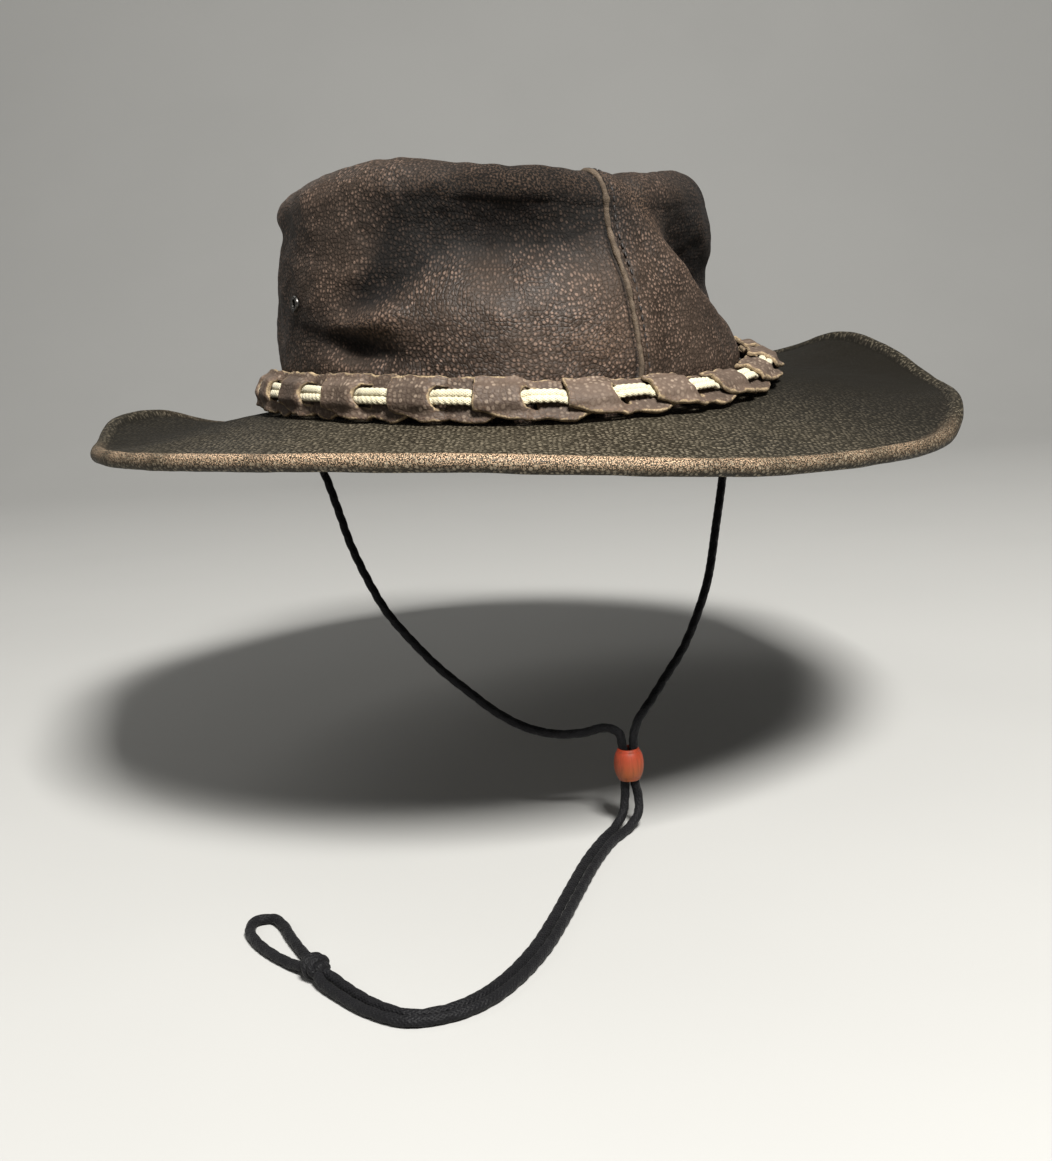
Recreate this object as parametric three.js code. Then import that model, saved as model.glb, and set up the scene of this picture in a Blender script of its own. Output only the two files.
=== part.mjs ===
// A soft leather hat with a band of laced leather links and a corded chin strap, in millimetres.
// +Z is up, the front faces -Y and +X is the wearer's left.
// z = 0 is the plane of the head opening, where the crown stands on the brim.
// An azimuth is in degrees from the front, growing towards +X.
import * as THREE from 'three';

const GAP = 0.3;
const LEATHER = 2;

const CROWN = { halfWidth: 89, halfLength: 105, shoulder: 13, centreZ: 79, topSag: 6 };
const CROWN_GRID = { around: 54, wall: 7, shoulder: 3, top: 3 };
const FOOTHOLD = 12;
const BRIM = { halfWidth: 166, halfLength: 182, thickness: 2.2, rollRadius: 2.8 };
const BRIM_SHARES = { middle: 0.55, roll: 0.958 };
const BRIM_GRID = { around: 66, across: 5, roll: 5 };
const BAND = { links: 22, height: 17, standOff: 1, lift: 0.5, ovalOffset: 9, start: -0.43 };
const LINK = { tabLayer: 3.9, thickness: 1.6, slotBottom: 4.6, slotTop: 12 };
const LACE = { width: 2.6, depth: 1.7, layer: 2.75, lowerAt: 6.75, upperAt: 9.65, sides: 6, steps: 66 };
const SEAM = { width: 1.8, thickness: 1.3, lift: 0.8, azimuthAtBase: 29.5, azimuthAtTop: 27.5, steps: 10 };
const SEAM_REACH = { startShare: 0.28, wallSteps: 7, lastBend: 65 };
const EYELET = { outerRadius: 3, boreRadius: 1.3, height: 1.1, share: 0.56 };
const CORD = { diameter: 3, sides: 8, stepLength: 9.5, loopStep: 6 };
const CORD_TAB = { thickness: 2.4, width: 12, height: 10, x: 83.4, z: 8 };
const BEAD = { radius: 5.3, endRadius: 4.1, height: 11.6, x: 32.95, y: -95, z: -125 };
const KNOT = { length: 10.4, width: 8.6, height: 7.4, x: -66.6, y: -202.3, z: -144.2, turn: 120 };

// How the brim lies, by azimuth: its height at the crown, half-way out and at its rolled
// edge, and how far out it reaches as a share of the plain oval.
const BRIM_ROWS = [
  { azimuth: -180, baseZ: 0.0, midZ: -3.0, edgeZ: -9.7, reach: 1.0 },
  { azimuth: -150, baseZ: -1.2, midZ: -6.5, edgeZ: -16.5, reach: 1.0 },
  { azimuth: -134, baseZ: -2.5, midZ: -8.0, edgeZ: -18.0, reach: 1.0 },
  { azimuth: -122, baseZ: -3.0, midZ: -8.6, edgeZ: -13.0, reach: 1.0 },
  { azimuth: -109, baseZ: -2.8, midZ: -8.6, edgeZ: -3.8, reach: 1.0 },
  { azimuth: -96, baseZ: -1.5, midZ: -7.5, edgeZ: -2.8, reach: 1.0 },
  { azimuth: -80, baseZ: 0.4, midZ: -5.0, edgeZ: -7.0, reach: 0.975 },
  { azimuth: -54, baseZ: 1.0, midZ: -1.9, edgeZ: -4.5, reach: 1.0 },
  { azimuth: -30, baseZ: 0.3, midZ: -1.2, edgeZ: -2.5, reach: 1.0 },
  { azimuth: -8, baseZ: -1.0, midZ: -2.4, edgeZ: -3.3, reach: 1.0 },
  { azimuth: 10, baseZ: -2.0, midZ: -4.2, edgeZ: -7.4, reach: 1.0 },
  { azimuth: 26, baseZ: -1.9, midZ: -6.0, edgeZ: -12.5, reach: 1.0 },
  { azimuth: 44, baseZ: -1.8, midZ: -7.5, edgeZ: -15.3, reach: 1.01 },
  { azimuth: 60, baseZ: -0.6, midZ: -7.0, edgeZ: -15.8, reach: 1.03 },
  { azimuth: 76, baseZ: 1.8, midZ: -4.0, edgeZ: -8.2, reach: 1.03 },
  { azimuth: 91, baseZ: 3.2, midZ: -1.5, edgeZ: -4.6, reach: 1.02 },
  { azimuth: 104, baseZ: 4.0, midZ: 0.5, edgeZ: 6.4, reach: 1.0 },
  { azimuth: 116, baseZ: 4.0, midZ: 2.5, edgeZ: 10.9, reach: 1.0 },
  { azimuth: 128, baseZ: 3.2, midZ: 1.5, edgeZ: 3.3, reach: 1.0 },
  { azimuth: 150, baseZ: 1.2, midZ: -2.0, edgeZ: -7.2, reach: 1.0 },
];

// How the crown stands, by azimuth: the height of its top edge, and how far in from the
// base oval its wall leans by then.
const CROWN_ROWS = [
  { azimuth: -180, topZ: 83, leanIn: 9 },
  { azimuth: -135, topZ: 84, leanIn: 6 },
  { azimuth: -95, topZ: 82.5, leanIn: 2 },
  { azimuth: -70, topZ: 83, leanIn: 3 },
  { azimuth: -45, topZ: 87, leanIn: 5 },
  { azimuth: -30, topZ: 87.5, leanIn: 8 },
  { azimuth: -10, topZ: 85, leanIn: 10 },
  { azimuth: 12, topZ: 82.5, leanIn: 10 },
  { azimuth: 34, topZ: 79.2, leanIn: 10 },
  { azimuth: 58, topZ: 79.5, leanIn: 11 },
  { azimuth: 82, topZ: 80.5, leanIn: 11 },
  { azimuth: 112, topZ: 79, leanIn: 9 },
  { azimuth: 145, topZ: 82, leanIn: 8 },
];

// The crown's dents and creases. Each is a soft hollow, or a bulge where its depth is below
// zero, round an azimuth and a height. It climbs by slant millimetres for each degree, or turns
// by drift degrees for each millimetre that it rises.
const CROWN_DENTS = [
  { azimuth: -2, z: 59, spread: 28, rise: 14, depth: 13, slant: 0, drift: 0 },
  { azimuth: 65, z: 46, spread: 12, rise: 18, depth: 14, slant: 0, drift: -0.7 },
  { azimuth: 50, z: 46, spread: 6, rise: 18, depth: -2.5, slant: 0, drift: -0.7 },
  { azimuth: 93, z: 40, spread: 22, rise: 15, depth: 7, slant: 0, drift: 0 },
  { azimuth: -32, z: 44, spread: 11, rise: 7, depth: 5, slant: 0.5, drift: 0 },
  { azimuth: -34, z: 34, spread: 10, rise: 4.5, depth: -2.5, slant: 0.1, drift: 0 },
  { azimuth: -36, z: 24.5, spread: 13, rise: 5, depth: 5.5, slant: -0.25, drift: 0 },
  { azimuth: -92, z: 63, spread: 18, rise: 7, depth: 5, slant: 0.1, drift: 0 },
  { azimuth: -90, z: 23, spread: 26, rise: 12, depth: -1.5, slant: 0, drift: 0 },
  { azimuth: -150, z: 55, spread: 22, rise: 14, depth: 5, slant: 0, drift: 0 },
  { azimuth: 150, z: 48, spread: 18, rise: 15, depth: 5, slant: 0.2, drift: 0 },
];

// How the band leans back, by azimuth: 0 stands upright and 90 lies on the brim.
const LEAN_ROWS = [
  { azimuth: -180, lean: 26 },
  { azimuth: -120, lean: 26 },
  { azimuth: -95, lean: 30 },
  { azimuth: -65, lean: 21 },
  { azimuth: -25, lean: 15 },
  { azimuth: -8, lean: 23 },
  { azimuth: 8, lean: 38 },
  { azimuth: 30, lean: 50 },
  { azimuth: 55, lean: 62 },
  { azimuth: 95, lean: 58 },
  { azimuth: 140, lean: 40 },
];

// One link of the band, along its length: the layer it lies in, and its lower and upper edge.
const LINK_ROWS = [
  { along: 0, layer: 1, bottom: 3.8, top: 15.2 },
  { along: 8, layer: 1, bottom: 1.5, top: 15.6 },
  { along: 15.6, layer: 1, bottom: 0.1, top: 15.6 },
  { along: 20, layer: 0, bottom: 0.9, top: 15.6 },
  { along: 22, layer: 0, bottom: 1.5, top: 15.6 },
  { along: 26.5, layer: 0, bottom: 0.3, top: 15.8 },
  { along: 31, layer: 0, bottom: 0, top: 15.6 },
  { along: 38, layer: 0, bottom: 2.6, top: 14.5 },
  { along: 43, layer: 0, bottom: 5.8, top: 12 },
];
const LINK_SLOT = { firstCell: 2, lastCell: 2, row: 1 };

// The chin cord, point by point from each exit inside the head opening to the bead.
const RIGHT_CHIN_ROUTE = [
  [-83.4, 0, 2.4], [-83.6, -2, -5], [-82, -7, -12], [-78.6, -13, -19], [-74.6, -19.6, -26.5],
  [-69.1, -30.6, -40], [-65, -38.6, -50.5], [-58.3, -48.4, -63.3], [-51.7, -56.3, -73.5],
  [-43.7, -63, -82.3], [-33.4, -70.5, -92], [-22.8, -76.7, -100.1], [-12.4, -82.3, -107.4],
  [-2.3, -86.6, -112.2], [8.2, -89.4, -114.4], [17.4, -91.6, -113.8], [25, -93.8, -111.8],
  [29.8, -95, -113.4], [31, -95, -118.8],
];
const LEFT_CHIN_ROUTE = [
  [83.4, 0, 2.4], [83.9, -2, -5], [83.6, -9, -13], [81.4, -18, -24], [78.2, -28, -36.6],
  [73.9, -39.3, -51.2], [68.5, -52.7, -68.8], [63.3, -61, -79.6], [56.4, -69.5, -90.8],
  [49.6, -76.3, -98.3], [42.6, -84, -105.6], [37.2, -91, -110.6], [35.1, -94.6, -115],
  [34.9, -95, -118.8],
];

// The tail's two strands, from the bead down and along to the knot.
const RIGHT_TAIL_ROUTE = [
  [31.2, -95, -131.2], [31, -95.3, -137.6], [29.8, -97.2, -142.6], [26.8, -101.4, -145.8],
  [21.6, -111.5, -146.5], [15.2, -128.8, -146.5], [8.3, -153.2, -146.5], [2.3, -175.3, -146.5],
  [-4, -195.2, -146.5], [-12.2, -213, -146.5], [-19.8, -223.5, -146.5], [-27.6, -229.3, -146.5],
  [-37.2, -231, -146.5], [-46.4, -225, -146.5], [-55.4, -214.6, -146.4], [-61.6, -206.4, -145.8],
];
const LEFT_TAIL_ROUTE = [
  [34.7, -95, -131.2], [35.8, -95.2, -138], [35.2, -97.6, -142.8], [31.6, -102.4, -145.8],
  [25.2, -112.8, -146.5], [18.8, -130, -146.5], [11.9, -154.1, -146.5], [5.9, -176.3, -146.5],
  [-0.5, -196.5, -146.5], [-9, -215, -146.5], [-17.1, -226.4, -146.5], [-26.2, -232.9, -146.5],
  [-38.2, -234.7, -146.5], [-49, -227.9, -146.5], [-58.5, -217.1, -146.4], [-64.6, -208.6, -145.8],
];
const LOOP_ROUTE = [
  [-68, -196.6, -145.8], [-72.6, -187, -146.5], [-77.5, -176, -146.5], [-81.4, -166.4, -146.5],
  [-85.2, -161.6, -146.5], [-90, -162.6, -146.5], [-91.2, -168.4, -146.5], [-88.2, -177, -146.5],
  [-82.6, -186, -146.5], [-76.4, -193.4, -146.5], [-71.4, -198.6, -145.8],
];

const leather = new THREE.MeshStandardMaterial({ color: 0x2e211a, roughness: 0.62, metalness: 0 });
const brimLeather = new THREE.MeshStandardMaterial({ color: 0x3a3125, roughness: 0.66, metalness: 0 });
const linkLeather = new THREE.MeshStandardMaterial({ color: 0x3b2f29, roughness: 0.7, metalness: 0 });
const rawEdge = new THREE.MeshStandardMaterial({ color: 0x8a6647, roughness: 0.85, metalness: 0 });
const laceCotton = new THREE.MeshStandardMaterial({ color: 0xe6ddc0, roughness: 0.9, metalness: 0 });
const blackCord = new THREE.MeshStandardMaterial({ color: 0x0d0d0d, roughness: 0.85, metalness: 0 });
const beadWood = new THREE.MeshStandardMaterial({ color: 0xb5431f, roughness: 0.5, metalness: 0 });
const eyeletBrass = new THREE.MeshStandardMaterial({ color: 0x6e6558, roughness: 0.4, metalness: 0.9 });

const hat = new THREE.Group();

function add(name, geometry, material) {
  const mesh = new THREE.Mesh(geometry, material);
  mesh.name = name;
  hat.add(mesh);
  return mesh;
}

// The value of one column at an azimuth, on a smooth closed curve through the rows.
function around(rows, column, azimuth) {
  const count = rows.length;
  const from = rows[0].azimuth;
  const turned = from + ((((azimuth - from) % 360) + 360) % 360);
  let i = count - 1;
  while (rows[i].azimuth > turned) i -= 1;
  const at = (k) => rows[((k % count) + count) % count][column];
  const place = (k) => rows[((k % count) + count) % count].azimuth + 360 * Math.floor(k / count);
  const slope = (k) => (at(k + 1) - at(k - 1)) / (place(k + 1) - place(k - 1));
  const span = place(i + 1) - place(i);
  const t = (turned - place(i)) / span;
  const flat = t * t * (3 - 2 * t);
  const bend = t * (1 - t) * span;
  return at(i) + (at(i + 1) - at(i)) * flat + bend * ((1 - t) * slope(i) - t * slope(i + 1));
}

const radians = THREE.MathUtils.degToRad;

// A point of an oval and its outward direction, level, at an azimuth.
function oval(halfWidth, halfLength, azimuth) {
  const s = Math.sin(radians(azimuth));
  const c = Math.cos(radians(azimuth));
  const point = new THREE.Vector3(halfWidth * s, -halfLength * c, 0);
  const out = new THREE.Vector3(halfLength * s, -halfWidth * c, 0).normalize();
  return { point, out };
}

// A closed body from a grid of points on its skin. Cells that share a corner drop out.
function skin(points, indices) {
  const geometry = new THREE.BufferGeometry();
  geometry.setAttribute('position', new THREE.Float32BufferAttribute(points, 3));
  geometry.setIndex(indices);
  geometry.computeVertexNormals();
  return geometry;
}

// A ring-shaped body: a closed section carried once round. point(i, j) is the skin at step i
// round the ring and step j round the section, which runs so that the faces point outwards.
function ring(steps, sides, point) {
  const points = [];
  const indices = [];
  for (let i = 0; i < steps; i += 1) {
    for (let j = 0; j < sides; j += 1) {
      points.push(...point(i, j).toArray());
      const a = i * sides + j;
      const b = i * sides + ((j + 1) % sides);
      const c = ((i + 1) % steps) * sides + j;
      const d = ((i + 1) % steps) * sides + ((j + 1) % sides);
      indices.push(a, b, d, a, d, c);
    }
  }
  return skin(points, indices);
}

// A plate with a front and a back skin, open(i, j) being a cell that is cut out of it.
function plate(columns, rows, front, back, open) {
  const points = [];
  const indices = [];
  const across = rows + 1;
  const side = (columns + 1) * across;
  const id = (i, j) => i * across + j;
  for (const face of [front, back]) {
    for (let i = 0; i <= columns; i += 1) {
      for (let j = 0; j <= rows; j += 1) points.push(...face(i, j).toArray());
    }
  }
  const solid = (i, j) => i >= 0 && i < columns && j >= 0 && j < rows && !open(i, j);
  const wall = (a, b) => indices.push(a, a + side, b + side, a, b + side, b);
  for (let i = 0; i < columns; i += 1) {
    for (let j = 0; j < rows; j += 1) {
      if (!solid(i, j)) continue;
      const corners = [id(i, j), id(i + 1, j), id(i + 1, j + 1), id(i, j + 1)];
      const [a, b, c, d] = corners;
      indices.push(a, b, c, a, c, d);
      indices.push(a + side, c + side, b + side, a + side, d + side, c + side);
      if (!solid(i, j - 1)) wall(a, b);
      if (!solid(i + 1, j)) wall(b, c);
      if (!solid(i, j + 1)) wall(c, d);
      if (!solid(i - 1, j)) wall(d, a);
    }
  }
  return skin(points, indices);
}

// The brim's height above the opening plane, share being 0 at the crown and 1 at the edge.
function brimZ(azimuth, share) {
  const base = around(BRIM_ROWS, 'baseZ', azimuth);
  const mid = around(BRIM_ROWS, 'midZ', azimuth) - base;
  const edge = around(BRIM_ROWS, 'edgeZ', azimuth) - base;
  const cubic = (mid / BRIM_SHARES.middle ** 2 - edge) / (BRIM_SHARES.middle - 1);
  return base + (edge - cubic) * share ** 2 + cubic * share ** 3;
}

// The middle of the brim's thickness.
function brimPoint(azimuth, share) {
  const inner = oval(CROWN.halfWidth - LEATHER, CROWN.halfLength - LEATHER, azimuth);
  const reach = around(BRIM_ROWS, 'reach', azimuth);
  const outer = oval(BRIM.halfWidth, BRIM.halfLength, azimuth);
  const edge = outer.point.multiplyScalar(reach).addScaledVector(outer.out, -BRIM.rollRadius);
  const point = inner.point.lerp(edge, share);
  point.z = brimZ(azimuth, share) - BRIM.thickness / 2;
  return point;
}

// The brim is one sheet whose outer edge is rolled over into a round bead of leather.
function brimGeometry() {
  const { across, roll } = BRIM_GRID;
  const sides = 2 * (across + 1) + roll;
  const half = BRIM.thickness / 2;
  const rollStart = Math.asin(half / BRIM.rollRadius);
  return ring(BRIM_GRID.around, sides, (i, j) => {
    const azimuth = (360 * i) / BRIM_GRID.around;
    if (j <= across) {
      const point = brimPoint(azimuth, (BRIM_SHARES.roll * j) / across);
      return point.setZ(point.z + half);
    }
    if (j > across + roll) {
      const point = brimPoint(azimuth, (BRIM_SHARES.roll * (sides - 1 - j)) / across);
      return point.setZ(point.z - half);
    }
    const centre = brimPoint(azimuth, 1);
    const { out } = oval(BRIM.halfWidth, BRIM.halfLength, azimuth);
    const sweep = 2 * (Math.PI - rollStart);
    const turn = Math.PI - rollStart - (sweep * (j - across)) / (roll + 1);
    centre.addScaledVector(out, Math.cos(turn) * BRIM.rollRadius);
    return centre.setZ(centre.z + Math.sin(turn) * BRIM.rollRadius);
  });
}

// How far the crown is pushed in at a place on its wall.
function dentDepth(azimuth, z) {
  let depth = 0;
  for (const dent of CROWN_DENTS) {
    const off = ((azimuth - dent.azimuth + 540) % 360) - 180;
    const up = z - dent.z - dent.slant * off;
    const beside = off - dent.drift * (z - dent.z);
    depth += dent.depth * Math.exp(-((beside / dent.spread) ** 2) - (up / dent.rise) ** 2);
  }
  return depth;
}

// A place on the crown's wall and shoulder and the direction that its skin faces. bend is 0
// on the wall and a quarter turn where the shoulder meets the top.
function crownWall(azimuth, share, bend) {
  const foot = around(BRIM_ROWS, 'baseZ', azimuth) + GAP;
  const topZ = around(CROWN_ROWS, 'topZ', azimuth);
  const leanIn = around(CROWN_ROWS, 'leanIn', azimuth);
  const { point, out } = oval(CROWN.halfWidth, CROWN.halfLength, azimuth);
  const shoulderZ = topZ - CROWN.shoulder;
  point.z = foot + (shoulderZ - foot) * share + CROWN.shoulder * Math.sin(bend);
  point.addScaledVector(out, -leanIn * share ** 2 - CROWN.shoulder * (1 - Math.cos(bend)));
  const facing = out.clone().multiplyScalar(Math.cos(bend)).setZ(Math.sin(bend));
  const foothold = Math.min(1, Math.max(0, (point.z - foot) / FOOTHOLD));
  point.addScaledVector(facing, -dentDepth(azimuth, point.z) * foothold);
  return { point, facing };
}

// The direction that the wall's skin really faces, with its dents.
function wallNormal(azimuth, share) {
  const here = crownWall(azimuth, share, 0).point;
  const beside = crownWall(azimuth + 1, share, 0).point.sub(here);
  const above = crownWall(azimuth, share + 0.02, 0).point.sub(here);
  return beside.cross(above).normalize();
}

function crownPoint(azimuth, row, inset) {
  const { wall, shoulder, top } = CROWN_GRID;
  const share = Math.min(1, row / wall);
  const bend = (Math.PI / 2) * Math.min(1, Math.max(0, (row - wall) / shoulder));
  const { point, facing } = crownWall(azimuth, share, bend);
  point.addScaledVector(facing, -inset);
  const inwards = Math.max(0, (row - wall - shoulder) / top);
  const out = 1 - inwards;
  point.x *= out;
  point.y *= out;
  const sunk = CROWN.topSag * (1 - out ** 2);
  const rim = out ** 2 * (3 - 2 * out);
  point.z = (point.z + inset) * rim + CROWN.centreZ * (1 - rim) - sunk - inset;
  return point;
}

// The crown is one hollow shell, open below, so its skin runs up the outside to the middle
// of the top and back down the inside.
function crownGeometry() {
  const { around: steps, wall, shoulder, top } = CROWN_GRID;
  const rings = wall + shoulder + top;
  const points = [];
  const indices = [];
  for (const inset of [0, LEATHER]) {
    for (let row = 0; row < rings; row += 1) {
      for (let i = 0; i < steps; i += 1) {
        points.push(...crownPoint((360 * i) / steps, row, inset).toArray());
      }
    }
    points.push(...crownPoint(0, rings, inset).toArray());
  }
  const side = rings * steps + 1;
  const id = (layer, row, i) => layer * side + row * steps + (i % steps);
  const face = (layer, a, b, c) => indices.push(...(layer === 0 ? [a, b, c] : [a, c, b]));
  for (const layer of [0, 1]) {
    for (let i = 0; i < steps; i += 1) {
      for (let row = 0; row < rings - 1; row += 1) {
        const a = id(layer, row, i);
        const b = id(layer, row, i + 1);
        const c = id(layer, row + 1, i + 1);
        const d = id(layer, row + 1, i);
        face(layer, a, b, c);
        face(layer, a, c, d);
      }
      face(layer, id(layer, rings - 1, i), id(layer, rings - 1, i + 1), (layer + 1) * side - 1);
    }
  }
  for (let i = 0; i < steps; i += 1) {
    const a = id(0, 0, i);
    const b = id(0, 0, i + 1);
    const c = id(1, 0, i + 1);
    const d = id(1, 0, i);
    indices.push(a, c, b, a, d, c);
  }
  return skin(points, indices);
}

// The raw edge of the lapped seam is a narrow strip up the front of the crown.
function seamGeometry() {
  const { startShare, wallSteps, lastBend } = SEAM_REACH;
  const place = (i, j, lift) => {
    const azimuth = SEAM.azimuthAtBase + (SEAM.azimuthAtTop - SEAM.azimuthAtBase) * (j / SEAM.steps);
    const share = startShare + (1 - startShare) * Math.min(1, j / wallSteps);
    const bend = radians(lastBend) * Math.max(0, (j - wallSteps) / (SEAM.steps - wallSteps));
    const { point, facing } = crownWall(azimuth, share, bend);
    const beside = new THREE.Vector3(-facing.y, facing.x, 0).multiplyScalar((i - 0.5) * SEAM.width);
    return point.add(beside).addScaledVector(facing, lift);
  };
  const front = (i, j) => place(i, j, SEAM.lift + SEAM.thickness);
  const back = (i, j) => place(i, j, SEAM.lift);
  return plate(1, SEAM.steps, front, back, () => false);
}

// Azimuths at even steps along the oval that the band follows.
const bandAzimuth = (() => {
  const samples = 720;
  const lengths = [0];
  const [halfWidth, halfLength] = [CROWN.halfWidth + BAND.ovalOffset, CROWN.halfLength + BAND.ovalOffset];
  const at = (k) => oval(halfWidth, halfLength, (360 * k) / samples).point;
  for (let k = 1; k <= samples; k += 1) lengths.push(lengths[k - 1] + at(k).distanceTo(at(k - 1)));
  const total = lengths[samples];
  return {
    total,
    at(length) {
      const wrapped = ((length % total) + total) % total;
      let k = 1;
      while (lengths[k] < wrapped) k += 1;
      const part = (wrapped - lengths[k - 1]) / (lengths[k] - lengths[k - 1]);
      return (360 * (k - 1 + part)) / samples;
    },
  };
})();

// A place in the band: so far round it, so far up its face and in such a layer outwards.
function bandPoint(length, up, layer) {
  const azimuth = bandAzimuth.at(length);
  const lean = radians(around(LEAN_ROWS, 'lean', azimuth));
  const { point, out } = oval(CROWN.halfWidth, CROWN.halfLength, azimuth);
  const reach = BAND.standOff + BAND.height * Math.sin(lean);
  const brimWidth = BRIM.halfWidth - CROWN.halfWidth;
  const foot = Math.max(brimZ(azimuth, reach / brimWidth), brimZ(azimuth, 0)) + BAND.lift;
  point.addScaledVector(out, reach - up * Math.sin(lean) + layer * Math.cos(lean));
  return point.setZ(foot + up * Math.cos(lean) + layer * Math.sin(lean));
}

const pitch = bandAzimuth.total / BAND.links;

// A link is a strip whose tab lies outside the lace and whose tongue lies inside it, under the
// next link's tab. The lace comes through the slot between the two.
function linkGeometry(index) {
  const start = (index + BAND.start) * pitch;
  const place = (i, j, depth) => {
    const row = LINK_ROWS[i];
    const up = [row.bottom, LINK.slotBottom, LINK.slotTop, row.top][j];
    const kept = Math.min(Math.max(up, row.bottom), row.top);
    return bandPoint(start + row.along, kept, row.layer * LINK.tabLayer + depth);
  };
  const front = (i, j) => place(i, j, LINK.thickness);
  const back = (i, j) => place(i, j, 0);
  const { firstCell, lastCell, row } = LINK_SLOT;
  const open = (i, j) => j === row && i >= firstCell && i <= lastCell;
  return plate(LINK_ROWS.length - 1, 3, front, back, open);
}

// A strand of the lace runs once round, in the layer between the tongues and the tabs.
function laceGeometry(height) {
  return ring(LACE.steps, LACE.sides, (i, j) => {
    const turn = (2 * Math.PI * j) / LACE.sides;
    const length = (bandAzimuth.total * i) / LACE.steps;
    const up = height + (LACE.width / 2) * Math.cos(turn);
    return bandPoint(length, up, LACE.layer + (LACE.depth / 2) * Math.sin(turn));
  });
}

// A ring round a vent hole, standing on the crown's wall.
function eyelet(azimuth) {
  const { outerRadius, boreRadius, height } = EYELET;
  const profile = [
    [boreRadius, 0], [outerRadius, 0], [outerRadius, height * 0.5], [outerRadius - 0.6, height],
    [boreRadius + 0.4, height], [boreRadius, height * 0.6], [boreRadius, 0],
  ].map(([r, y]) => new THREE.Vector2(r, y));
  const mesh = new THREE.Mesh(new THREE.LatheGeometry(profile, 12), eyeletBrass);
  const { point } = crownWall(azimuth, EYELET.share, 0);
  const facing = wallNormal(azimuth, EYELET.share);
  mesh.position.copy(point).addScaledVector(facing, 3 * GAP);
  mesh.quaternion.setFromUnitVectors(new THREE.Vector3(0, 1, 0), facing);
  return mesh;
}

// A tube of cord along a route, with its ends square to the route.
function cordGeometry(route, stepLength = CORD.stepLength) {
  const path = new THREE.CatmullRomCurve3(route.map((p) => new THREE.Vector3(...p)), false, 'centripetal');
  const section = new THREE.Shape();
  for (let k = 0; k < CORD.sides; k += 1) {
    const turn = (2 * Math.PI * k) / CORD.sides;
    const x = (CORD.diameter / 2) * Math.cos(turn);
    const y = (CORD.diameter / 2) * Math.sin(turn);
    if (k === 0) section.moveTo(x, y);
    else section.lineTo(x, y);
  }
  const steps = Math.round(path.getLength() / stepLength);
  return new THREE.ExtrudeGeometry(section, { steps, extrudePath: path, bevelEnabled: false });
}

// The bead is a barrel whose flat ends the cords meet.
function beadGeometry() {
  const { radius, endRadius, height } = BEAD;
  const profile = [
    [0, -height / 2], [endRadius, -height / 2], [radius * 0.93, -height * 0.26], [radius, 0],
    [radius * 0.93, height * 0.26], [endRadius, height / 2], [0, height / 2],
  ].map(([r, y]) => new THREE.Vector2(r, y));
  return new THREE.LatheGeometry(profile, 14);
}

add('crown', crownGeometry(), leather);
add('crown_seam_edge', seamGeometry(), rawEdge);
add('brim', brimGeometry(), brimLeather);

for (let index = 0; index < BAND.links; index += 1) {
  const number = String(index + 1).padStart(2, '0');
  add(`band_link_${number}`, linkGeometry(index), linkLeather);
}
add('lace_lower', laceGeometry(LACE.lowerAt), laceCotton);
add('lace_upper', laceGeometry(LACE.upperAt), laceCotton);

for (const [side, sign, ventAzimuth] of [['right', -1, -58.5], ['left', 1, 104]]) {
  const vent = eyelet(ventAzimuth);
  vent.name = `vent_eyelet_${side}`;
  hat.add(vent);
  const { thickness, width, height, x, z } = CORD_TAB;
  const tab = add(`cord_tab_${side}`, new THREE.BoxGeometry(thickness, width, height), leather);
  tab.position.set(sign * x, 0, z);
}

add('chin_cord_right', cordGeometry(RIGHT_CHIN_ROUTE), blackCord);
add('chin_cord_left', cordGeometry(LEFT_CHIN_ROUTE), blackCord);
add('tail_strand_right', cordGeometry(RIGHT_TAIL_ROUTE), blackCord);
add('tail_strand_left', cordGeometry(LEFT_TAIL_ROUTE), blackCord);
add('end_loop', cordGeometry(LOOP_ROUTE, CORD.loopStep), blackCord);

const bead = add('bead', beadGeometry(), beadWood);
bead.position.set(BEAD.x, BEAD.y, BEAD.z);
bead.rotation.x = Math.PI / 2;

const knot = add('end_knot', new THREE.SphereGeometry(0.5, 10, 7), blackCord);
knot.position.set(KNOT.x, KNOT.y, KNOT.z);
knot.rotation.z = radians(KNOT.turn);
knot.scale.set(KNOT.length, KNOT.height, KNOT.width);
knot.rotation.order = 'ZYX';
knot.rotation.x = Math.PI / 2;

export default hat;
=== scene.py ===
"""Looks for a soft leather hat with a laced link band and a chin cord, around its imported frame.

Sizes in the tables are millimetres in the part's frame: +Z up, the front faces -Y, +X is the
wearer's left, and z = 0 is the plane of the head opening. An azimuth is in degrees from the
front, growing towards +X. Meshes are made in metres.
"""

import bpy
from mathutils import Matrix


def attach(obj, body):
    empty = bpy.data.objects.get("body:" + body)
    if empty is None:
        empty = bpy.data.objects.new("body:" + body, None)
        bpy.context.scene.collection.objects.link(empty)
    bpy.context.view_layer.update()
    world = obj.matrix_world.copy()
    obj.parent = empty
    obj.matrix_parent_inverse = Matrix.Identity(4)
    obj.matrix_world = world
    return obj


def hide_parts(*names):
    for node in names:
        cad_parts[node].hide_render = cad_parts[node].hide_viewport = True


bl_info = {
    "name": "Leather Hat With Laced Band",
    "version": (1, 0, 0),
    "blender": (4, 5, 0),
    "location": "View3D > Sidebar > Hat",
    "description": "Dresses a soft leather hat with a laced link band and a chin cord",
    "category": "Add Mesh",
}

import bpy
import numpy as np
from bpy.props import FloatProperty, FloatVectorProperty, PointerProperty
from mathutils import Matrix, Vector

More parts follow.
